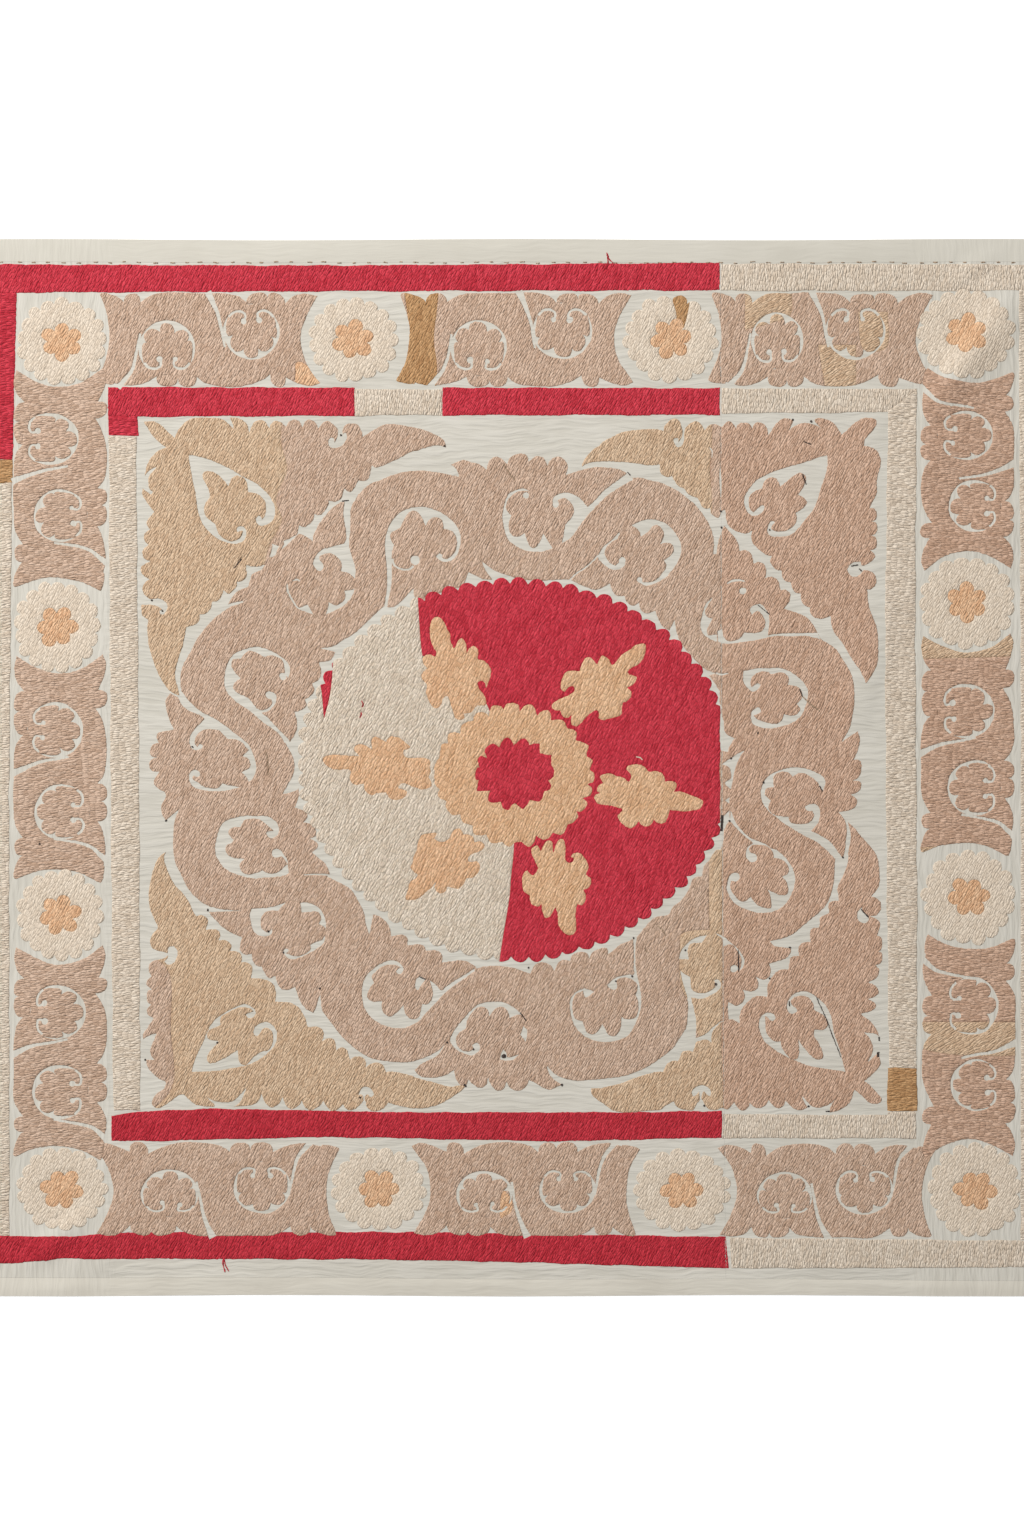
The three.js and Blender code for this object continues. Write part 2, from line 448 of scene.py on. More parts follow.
# Each leaf's outline, clockwise from the foot of its sprig or the tip of its horn
LEAVES = {
    "leaf_top_left": [
        (175, 438, 1), (178, 431), (190, 420), (212, 418), (222, 420), (234, 430, 1), (232, 424),
        (229, 418, 1), (237, 418), (244, 421), (248, 426), (250, 434, 1), (252, 426), (256, 421),
        (261, 420), (266, 422), (270, 429, 1), (272, 424), (276, 421), (281, 422), (286, 427, 1),
        (289, 422), (294, 420), (299, 422), (302, 428, 1), (305, 422), (310, 420), (315, 423),
        (318, 429, 1), (322, 424), (327, 421), (338, 429), (339, 434, 1), (342, 434, 1), (346, 425),
        (357, 424), (361, 430), (363, 437, 1), (374, 430), (386, 425), (400, 425), (428, 432), (444, 441),
        (446, 448, 1), (439, 446), (419, 450), (410, 452), (400, 458), (390, 462), (376, 467),
        (372, 465, 1), (370, 476), (367, 480), (362, 481), (359, 480, 1), (352, 490), (348, 491),
        (344, 488, 1), (342, 494), (341, 498), (338, 501), (333, 502), (328, 501, 1), (328, 506),
        (320, 515), (314, 514, 1), (313, 520), (304, 527), (299, 525, 1), (297, 534, 1), (283, 541, 1),
        (276, 556), (264, 564, 1), (259, 566), (252, 566), (246, 565, 1), (246, 570), (247, 574),
        (245, 579), (240, 582), (237, 582, 1), (237, 586), (229, 594), (224, 590, 1), (222, 596),
        (218, 601), (212, 602, 1), (211, 608), (206, 613), (200, 614, 1), (200, 619), (196, 624),
        (187, 627, 1), (184, 642), (178, 660), (175, 676), (179, 696, 1), (170, 692), (156, 669),
        (150, 651), (147, 630), (148, 620, 1), (143, 616), (142, 610), (142, 606, 1), (152, 600, 1),
        (147, 597), (143, 592), (143, 587), (146, 582), (150, 579, 1), (145, 576), (142, 572), (142, 566),
        (150, 561, 1), (144, 558), (142, 554), (143, 549), (148, 545, 1), (144, 540), (144, 535),
        (150, 530, 1), (147, 526), (147, 522), (154, 512, 1), (146, 500), (143, 494), (143, 488, 1),
        (148, 492), (152, 494, 1), (154, 492, 1), (150, 488), (149, 476), (156, 468, 1), (150, 470),
        (145, 476, 1), (148, 463), (159, 451), (167, 448, 1), (160, 444), (152, 436), (144, 422, 1),
        (156, 422), (170, 434),
    ],
    "leaf_top_right": [
        (582, 466, 1), (584, 460), (592, 450), (598, 446), (604, 441), (611, 438), (619, 434), (636, 430),
        (658, 430), (663, 432, 1), (664, 427), (673, 419), (678, 420), (682, 431), (681, 437),
        (678, 442, 1), (678, 438, 1), (674, 438), (673, 441), (678, 447), (682, 445), (684, 439, 1),
        (684, 432), (686, 427), (695, 422), (700, 424), (705, 431, 1), (709, 426), (715, 424),
        (722, 427, 1), (728, 421), (733, 424), (736, 430, 1), (744, 423), (752, 431, 1), (761, 423),
        (768, 436, 1), (778, 423), (785, 419), (794, 420, 1), (788, 434, 1), (790, 430), (803, 423),
        (816, 426), (821, 430, 1), (814, 421, 1), (815, 419), (820, 418), (828, 420), (834, 424),
        (842, 435, 1), (847, 431), (853, 425), (866, 418), (876, 420), (876, 426), (868, 436), (865, 440),
        (864, 446, 1), (870, 447), (876, 450), (880, 456), (881, 464), (877, 480), (877, 494), (874, 500),
        (870, 508, 1), (877, 514), (871, 521, 1), (877, 528), (870, 535, 1), (877, 542), (870, 550, 1),
        (875, 556), (870, 563), (864, 566), (860, 566, 1), (862, 571, 1), (868, 571), (874, 574),
        (877, 579), (876, 585), (872, 589), (867, 590, 1), (868, 602), (876, 625), (878, 651), (877, 664),
        (872, 675), (866, 683, 1), (861, 672), (854, 662), (842, 642), (835, 633), (831, 624),
        (830, 616, 1), (822, 619), (814, 618), (810, 613), (810, 608, 1), (805, 606), (802, 601),
        (801, 594, 1), (795, 593), (792, 588), (791, 583, 1), (786, 582), (782, 577), (782, 571, 1),
        (777, 570), (773, 567), (770, 561), (772, 556, 1), (765, 554), (753, 543), (751, 537),
        (752, 531, 1), (744, 534), (731, 529), (727, 523), (726, 510, 1), (722, 511, 1), (719, 518),
        (712, 514), (710, 508, 1), (706, 509), (702, 507), (697, 498, 1), (692, 497), (687, 494),
        (685, 490, 1), (678, 486), (674, 480), (672, 476, 1), (668, 477), (663, 475), (660, 471),
        (660, 464, 1), (650, 465), (620, 462), (606, 461), (588, 463),
    ],
    "leaf_bottom_left": [
        (166, 852, 1), (164, 858), (170, 877), (176, 886), (182, 892), (188, 901), (192, 910),
        (196, 916, 1), (202, 915), (208, 918), (209, 922), (206, 929, 1), (218, 930), (220, 935),
        (218, 940, 1), (225, 940), (230, 943), (231, 947), (230, 951, 1), (236, 951), (241, 954),
        (242, 958), (241, 962, 1), (247, 962), (252, 966), (251, 978, 1), (260, 978), (268, 980),
        (274, 985), (276, 998), (275, 1002, 1), (292, 1003), (300, 1008), (305, 1017), (307, 1027, 1),
        (314, 1026), (321, 1028), (324, 1033), (322, 1041, 1), (328, 1038), (334, 1039), (336, 1044),
        (336, 1050, 1), (342, 1047), (347, 1050), (350, 1060, 1), (356, 1056), (362, 1057), (366, 1062),
        (365, 1068, 1), (370, 1064), (378, 1063), (383, 1066), (385, 1072, 1), (394, 1072), (407, 1074),
        (424, 1080), (438, 1084), (450, 1087), (464, 1084, 1), (465, 1086), (448, 1100), (438, 1105),
        (414, 1108), (399, 1106), (388, 1102, 1), (383, 1108), (375, 1111), (368, 1108), (366, 1101, 1),
        (364, 1101, 1), (358, 1107), (350, 1110), (346, 1108), (343, 1104, 1), (339, 1108), (332, 1111),
        (327, 1107), (323, 1101, 1), (319, 1106), (310, 1110), (305, 1106), (302, 1100, 1), (299, 1105),
        (292, 1109), (286, 1105), (283, 1097, 1), (278, 1104), (270, 1107), (264, 1101), (262, 1094, 1),
        (258, 1101), (252, 1105), (234, 1106, 1), (239, 1103), (244, 1095), (246, 1088, 1), (240, 1095),
        (232, 1101), (213, 1100), (207, 1096, 1), (210, 1100), (215, 1104), (215, 1107, 1), (204, 1106),
        (194, 1103), (183, 1094, 1), (178, 1095), (171, 1101), (158, 1108), (152, 1104), (154, 1097),
        (158, 1093), (164, 1089), (166, 1084, 1), (165, 1082, 1), (157, 1078), (147, 1067), (146, 1060, 1),
        (154, 1060, 1), (150, 1053), (154, 1039), (155, 1035, 1), (152, 1034), (143, 1039, 1), (143, 1034),
        (148, 1027), (154, 1018, 1), (149, 1015), (148, 1009), (152, 1005, 1), (147, 996), (152, 990, 1),
        (147, 985), (148, 980), (152, 976, 1), (149, 971), (149, 964), (152, 961), (160, 959),
        (166, 957, 1), (169, 953, 1), (152, 948), (150, 941), (153, 934), (158, 928, 1), (151, 910),
        (150, 883), (158, 859),
    ],
    "leaf_bottom_right": [
        (847, 822, 1), (854, 828), (871, 847), (877, 857), (880, 877), (879, 886), (875, 893),
        (871, 897, 1), (877, 899), (881, 903), (881, 910), (877, 915), (870, 916, 1), (875, 918),
        (880, 923), (877, 935, 1), (882, 943), (877, 951, 1), (882, 958), (875, 965, 1), (879, 970),
        (877, 978), (869, 983, 1), (877, 987), (879, 993), (874, 997), (868, 999, 1), (874, 1002),
        (876, 1006), (873, 1010), (860, 1013, 1), (872, 1022), (877, 1030), (879, 1037, 1), (876, 1034),
        (871, 1033), (864, 1032, 1), (869, 1037), (873, 1050), (868, 1062, 1), (873, 1058), (877, 1053, 1),
        (880, 1060), (880, 1065), (869, 1077), (864, 1081, 1), (869, 1084), (876, 1091), (882, 1098),
        (881, 1102), (875, 1104), (869, 1102), (862, 1095), (854, 1089, 1), (850, 1101), (844, 1107),
        (836, 1111), (830, 1112, 1), (830, 1110), (832, 1104), (835, 1099, 1), (830, 1104), (815, 1107),
        (802, 1096, 1), (805, 1103), (809, 1106, 1), (805, 1109), (799, 1110), (792, 1107), (785, 1100, 1),
        (783, 1105), (778, 1108), (772, 1105), (768, 1099, 1), (765, 1105), (759, 1108), (753, 1106),
        (750, 1102, 1), (748, 1107), (742, 1110), (737, 1106), (735, 1102, 1), (728, 1109), (722, 1108),
        (715, 1110), (708, 1108), (701, 1098, 1), (700, 1098, 1), (696, 1104), (692, 1110), (677, 1107),
        (674, 1101, 1), (666, 1105), (661, 1109), (650, 1110), (630, 1112), (613, 1110), (606, 1105),
        (592, 1094), (591, 1088, 1), (600, 1088), (608, 1086), (619, 1084), (648, 1074), (657, 1072),
        (663, 1072, 1), (666, 1065), (672, 1061), (677, 1061, 1), (680, 1056), (682, 1052), (688, 1051),
        (693, 1052, 1), (695, 1047), (696, 1043), (707, 1039), (712, 1042, 1), (712, 1036), (714, 1030),
        (720, 1023, 1), (729, 1020), (734, 1020), (740, 1023, 1), (741, 1011), (749, 1001), (755, 997),
        (762, 996), (766, 997, 1), (767, 993), (767, 986), (777, 972), (783, 970), (789, 970, 1),
        (790, 963), (791, 957), (799, 955, 1), (798, 949), (800, 944), (804, 942), (810, 942, 1),
        (810, 937), (811, 930), (819, 928, 1), (820, 923), (820, 918), (829, 913, 1), (828, 907),
        (829, 903), (833, 901), (838, 901, 1), (838, 895), (837, 889), (845, 870), (848, 861), (849, 851),
        (851, 842), (851, 834),
    ],
}

# Bare cotton within the leaves: each one's long gap, cut round its palmette, then its small hooks
LEAF_GAPS = [
    [
        (189, 455, 1), (196, 455.8), (215, 461.3), (233, 470), (241, 475.5), (258, 485), (272, 499),
        (275.3, 514), (272.5, 521.5), (262, 526.8), (257.3, 524), (255.7, 519.7), (258, 516.5), (261, 517),
        (262, 520.5, 1), (265, 516), (264.7, 500.5), (255, 493), (247.7, 492, 1), (247, 485), (244.5, 479),
        (238, 475.3), (232.5, 477.5), (228.5, 486.5, 1), (225.5, 482), (215.5, 472.7), (205, 472),
        (203, 476.3), (207.5, 487), (209.5, 493), (209.8, 499, 1), (206, 503), (204.7, 508), (206, 515),
        (215, 524, 1), (219, 534.5), (230, 541), (236.5, 540.3), (241, 537), (243, 531.5, 1),
        (240.7, 530.5), (237.7, 532.5), (236, 529.5), (238.3, 526.7), (242.5, 526.7), (245.8, 529.7),
        (246.8, 534.3), (244.7, 539.7), (240, 542.7), (233, 543.7), (218, 538.5), (205, 526.3), (198, 509),
        (194.3, 488), (190, 465),
    ],
    [
        (826.7, 456, 1), (817.6, 457.8), (807.3, 461.5), (783.9, 468), (770.7, 472.5), (753, 483.5),
        (744.3, 500.3), (748, 513.5), (753, 516), (759, 514.3), (763.3, 510), (764, 507), (762, 505.8),
        (756, 510), (753, 512.5, 1), (750, 510), (750, 496), (754.5, 491.5), (762, 489, 1), (764, 481.3),
        (770, 477.6), (775, 478.3), (778.7, 483.5), (779.8, 487, 1), (795, 474.7), (800.7, 472.5),
        (805, 474.7), (806.6, 478.3), (805, 485), (798.5, 495.2, 1), (803.7, 497.4), (807, 502.5),
        (804.4, 507.7), (795.6, 513.2, 1), (797.5, 518.7), (794, 526), (786.8, 530.4), (778, 531.4),
        (771.4, 528.5), (772, 525.6), (775, 523), (773.6, 521), (770, 521.6), (767.7, 531), (770.7, 535.5),
        (786.8, 535.8), (794, 532.6), (807.3, 518), (813.2, 510), (820.5, 490), (826.4, 469.5),
    ],
    [
        (192.5, 1072.5, 1), (194.4, 1063), (198.4, 1052), (204, 1041), (210.4, 1026.4), (215.2, 1020),
        (226.4, 1011.2), (239.2, 1005.6), (244.8, 1004.6), (254.4, 1010.2), (255.5, 1013.6), (252.8, 1018),
        (248, 1018), (245.6, 1015.2), (253.4, 1012, 1), (249.6, 1009.2), (239.2, 1007.6), (227, 1012.5),
        (221.5, 1016.5), (220.4, 1020.5), (221, 1024.5, 1), (216, 1027.2), (210.5, 1029, 1), (208, 1033),
        (208.3, 1038), (210.4, 1040, 1), (218.4, 1041.5, 1), (216, 1045), (211, 1049.6), (208, 1054.4),
        (207.2, 1060), (209.6, 1063), (224.8, 1058.4), (237.6, 1049.6, 1), (240, 1063), (245.6, 1064.8),
        (255.2, 1056), (261.6, 1051.7), (269.6, 1049.6), (273.6, 1037.6), (272, 1031.2), (268, 1027.7),
        (263.2, 1028.8), (256.8, 1036.3), (253.3, 1033), (255.2, 1027.2), (266.4, 1022), (272.8, 1024.8),
        (276.5, 1030.4), (277.3, 1037.6), (275.2, 1044.8), (264.8, 1056), (250.4, 1063.7), (234.4, 1068.3),
        (204, 1071.5),
    ],
    [
        (845.7, 1071.8, 1), (822.3, 1068.5), (810.5, 1066.3), (795.9, 1061), (788.5, 1058.2), (771, 1047.2),
        (763.6, 1040.6), (758.5, 1026.7), (760, 1018), (764.3, 1013.2), (770.2, 1012.3), (774.6, 1015),
        (774.6, 1019.3), (771.7, 1021), (768.7, 1019.3), (768, 1017), (765, 1016, 1), (765, 1026.7),
        (766.5, 1034), (775.3, 1042), (781.2, 1041.6, 1), (782.7, 1048), (789.3, 1057.8), (793.7, 1060),
        (797.3, 1058.2), (799, 1051.6), (798.8, 1037.7, 1), (801.7, 1044.3), (813.5, 1058.2),
        (818.6, 1059.7), (822.3, 1057.5), (818.6, 1042.8), (814.2, 1036.2), (814.2, 1029.6, 1),
        (823.7, 1029.3), (827.4, 1025.2), (827.4, 1020.8), (824.5, 1016.4), (814.2, 1009.8, 1),
        (813.5, 1003.2), (809, 998), (803.2, 996.2), (796, 997.3), (790.7, 1001), (793, 1006),
        (796.6, 1008.3), (797.3, 1011.3), (793.7, 1013.5), (789.3, 1012.3), (787, 1007.6), (787.8, 1001),
        (793, 995), (800.3, 992.2), (809, 992.2), (823, 1002.5), (829, 1012), (834, 1032.5), (840.6, 1053),
    ],
    [
        (339, 425, 1), (338.6, 431), (338, 437), (335.3, 443, 1), (334.5, 438.8), (331.9, 437.7),
        (329, 441), (329.6, 446), (334.5, 448.3), (341, 447), (345.5, 442.5), (347.5, 436), (345.5, 432.8),
        (342.8, 435.5, 1), (342.3, 430.5),
    ],
    [(272, 544, 1), (279.3, 546, 1), (276.5, 552), (275.3, 557.5, 1), (269, 556.5, 1), (271.5, 551)],
    [
        (141, 604, 1), (149.7, 599.5), (161, 599.4), (166, 602.8), (167.4, 607.6), (163.9, 614.2),
        (160.4, 614.2), (159.5, 611.3), (162, 609.5, 1), (158.1, 606.7), (152, 605), (145, 605.5),
    ],
    [
        (861, 562, 1), (855.5, 562), (849.5, 564.5), (847, 570), (849.5, 575), (856, 577), (861.5, 573.5),
        (864, 570, 1), (862, 566.3),
    ],
    [
        (168, 947.7), (173.6, 946), (177.3, 949.6), (177.3, 956), (173.6, 962.4), (168, 963.9),
        (164, 961, 1), (167.2, 957),
    ],
    [
        (361.5, 1089.8), (366, 1087), (371.6, 1089), (374.7, 1094.4, 1), (371.6, 1097.2), (368, 1094.4),
        (366, 1096), (365.6, 1103, 1), (364.4, 1103, 1), (363.5, 1097), (361.5, 1094.5), (359.5, 1096),
    ],
    [
        (862, 906.7, 1), (858, 911.3), (857.3, 916.7), (860, 921.3), (864, 922.7), (868, 920.7),
        (869.3, 917.3), (862.7, 910.7),
    ],
    [
        (691, 1091.2), (694, 1087.5), (700.5, 1085.3), (706.4, 1086.8), (710.8, 1092), (710, 1096.3, 1),
        (707, 1095), (703.5, 1091.2), (701.5, 1094), (701, 1100, 1), (699.3, 1100, 1), (698.3, 1091.2),
        (696, 1094), (692.5, 1096.3, 1),
    ],
]
LEAF_SLITS = [  # x, y and width along each
    [(720.4, 468, 0.6), (720.6, 482, 2.2), (720.4, 497, 0.6)],
    [(710, 448, 0.8), (712.4, 452, 1.4), (711.8, 458, 0.8)],
]

for piece, outline in LEAVES.items():
    stitch(piece, drawn(outline))
for outline in LEAF_GAPS:
    leave_bare(drawn(outline))
for line in LEAF_SLITS:
    leave_bare(channel(line))


# ---------------------------------------------------------------------------------------------------------
# The wreath round the medallion
# ---------------------------------------------------------------------------------------------------------

# Round the outside, clockwise from the tip of the top cluster's long leaf
WREATH_OUTSIDE = [
    (450, 465, 1), (463, 460), (471, 462), (479, 464), (487, 470, 1), (488, 464), (492, 458), (497, 456),
    (503, 459), (508, 464, 1), (519, 454), (528, 462, 1), (537, 456), (544, 459), (547, 466, 1), (551, 460),
    (560, 457), (566, 461), (568, 467), (566, 475, 1), (581, 470), (601, 467), (619, 469), (628, 474, 1),
    (632, 478, 1), (641, 478), (650, 480), (660, 482), (680, 493), (688, 500), (695, 506), (708, 522),
    (714, 540), (714, 554, 1), (717, 554, 1), (718, 545), (720, 536), (724, 526, 1), (729, 532), (734, 537),
    (738, 544), (739, 551, 1), (745, 550), (750, 553), (753, 564, 1), (758, 562), (763, 564), (766, 570),
    (765, 579, 1), (771, 577), (777, 580), (780, 590, 1), (785, 590), (790, 594), (790, 600), (784, 608, 1),
    (800, 614), (809, 620), (818, 634, 1), (820, 639, 1), (836, 649), (842, 658), (852, 678), (854, 700),
    (852, 715), (850, 728), (842, 742, 1), (858, 732, 1), (860, 739), (859, 747), (854, 760, 1), (862, 768),
    (852, 780, 1), (861, 786), (850, 794, 1), (857, 800), (855, 807), (848, 811), (838, 812, 1), (842, 817),
    (846, 826), (846, 845), (843, 858, 1), (835, 858, 1), (834, 866), (834, 875), (832, 890), (826, 904),
    (813, 918), (794, 933), (783, 938), (770, 941, 1), (775, 946), (782, 947), (791, 948, 1), (790, 954),
    (785, 959), (769, 964, 1), (771, 971), (769, 977), (763, 980), (755, 977, 1), (758, 983), (757, 989),
    (751, 992), (743, 990, 1), (745, 996), (742, 1003), (736, 1006), (729, 1002, 1), (728, 1011),
    (730, 1020, 1), (720, 1022, 1), (712, 1028), (705, 1034), (696, 1038, 1), (696, 1025), (694, 1011),
    (691, 997, 1), (687, 996, 1), (688, 1006), (687, 1016), (686, 1026), (677, 1042), (671, 1050),
    (652, 1064), (626, 1076), (610, 1078), (575, 1080), (556, 1075), (547, 1066, 1), (548, 1071),
    (552, 1078), (562, 1085, 1), (548, 1090), (535, 1083), (529, 1080, 1), (526, 1087), (519, 1091),
    (511, 1088), (507, 1082, 1), (504, 1088), (498, 1090), (492, 1085), (488, 1077, 1), (486, 1084),
    (480, 1088), (472, 1084), (468, 1080, 1), (465, 1086), (460, 1085), (456, 1080), (454, 1070, 1),
    (444, 1076), (426, 1078), (418, 1074), (415, 1070, 1), (422, 1064), (436, 1056), (446, 1042, 1),
    (438, 1050), (422, 1059), (409, 1062), (382, 1061), (369, 1057), (350, 1044), (333, 1025), (322, 1010),
    (321, 1002), (320, 991, 1), (318, 1001), (313, 1012, 1), (306, 1008), (301, 1001), (295, 987, 1),
    (289, 990), (282, 990), (278, 984), (276, 976, 1), (270, 978), (265, 972), (262, 966, 1), (257, 965),
    (253, 960), (252, 953, 1), (246, 954), (241, 951), (240, 946), (242, 937, 1), (232, 933), (224, 928),
    (209, 912, 1), (209, 906, 1), (202, 903), (190, 891), (180, 872), (176, 863), (173, 838), (176, 816),
    (180, 808, 1), (166, 820, 1), (163, 816), (161, 806), (166, 796), (165, 792, 1), (158, 788), (154, 782),
    (159, 772, 1), (149, 766), (158, 758, 1), (150, 751), (159, 743, 1), (156, 738), (157, 733),
    (174, 729, 1), (170, 722), (166, 707), (166, 700), (170, 694, 1), (178, 698, 1), (182, 694, 1),
    (180, 686), (182, 669), (192, 650), (198, 638), (214, 619), (231, 606, 1), (228, 604, 1), (232, 598),
    (237, 592), (248, 587, 1), (250, 580), (252, 574), (262, 569, 1), (270, 560, 1), (285, 546, 1),
    (298, 534, 1), (305, 536), (312, 542, 1), (314, 533), (325, 516), (334, 507), (341, 502, 1),
    (355, 501, 1), (358, 495), (370, 484), (380, 480), (392, 475), (420, 470), (435, 472), (456, 476, 1),
    (458, 472),
]

# Round the inside, clockwise from the slit on the left
WREATH_INSIDE = [
    (290, 742, 1), (296, 731), (297, 723), (295, 712, 1), (302, 710), (307, 705), (305, 699, 1), (310, 696),
    (314, 690), (312, 683, 1), (318, 680), (321, 673), (319, 663, 1), (325, 662), (331, 660), (336, 652, 1),
    (328, 650), (319, 649, 1), (335, 645), (343, 640), (352, 635), (368, 621), (384, 606, 1), (390, 607),
    (396, 605), (413, 589, 1), (422, 600), (431, 588, 1), (441, 593), (449, 584, 1), (455, 588), (462, 586),
    (468, 572, 1), (475, 576), (484, 580), (493, 580, 1), (519, 580, 1), (570, 580, 1), (584, 586),
    (598, 590), (610, 584, 1), (612, 591), (616, 596), (624, 596, 1), (626, 602), (633, 606), (639, 603, 1),
    (641, 610), (647, 614), (656, 611, 1), (658, 618), (662, 626), (669, 630, 1), (674, 619, 1), (677, 634),
    (683, 647), (697, 662), (704, 669), (716, 674, 1), (709, 676, 1), (713, 682), (720, 692, 1), (720, 704),
    (722, 707), (721, 712), (724, 721), (726, 733), (736, 739, 1), (731, 743), (728, 752, 1), (720, 750, 1),
    (720, 820, 1), (730, 810, 1), (730, 820, 1), (726, 826), (724, 832), (724, 838), (721, 850, 1),
    (717, 850), (709, 861), (704, 866), (702, 876, 1), (695, 877), (692, 880), (688, 891), (682, 900),
    (672, 908), (669, 914), (655, 918), (645, 928), (637, 938, 1), (633, 939, 1), (628, 942), (622, 944),
    (608, 954, 1), (600, 948), (589, 960, 1), (580, 952), (571, 961, 1), (564, 959), (559, 962),
    (555, 971, 1), (551, 965), (543, 962), (535, 964), (530, 973, 1), (512, 968), (490, 966), (476, 969, 1),
    (476, 967, 1), (466, 961), (459, 960), (442, 962, 1), (442, 956), (440, 952), (434, 950), (426, 951, 1),
    (424, 946), (419, 944), (408, 945, 1), (408, 938), (403, 934), (391, 936, 1), (390, 930), (386, 922),
    (380, 917), (374, 915, 1), (372, 922), (369, 935, 1), (366, 924), (365, 914), (358, 900), (350, 888),
    (327, 876, 1), (330, 873, 1), (325, 863), (319, 858), (312, 852, 1), (317, 848), (318, 844),
    (309, 838, 1), (315, 830), (303, 823, 1), (307, 819), (307, 813), (295, 808, 1), (297, 803), (299, 796),
    (299, 788, 1), (290, 793), (284, 792, 1), (292, 778), (294, 768), (293, 758), (285, 742, 1),
]

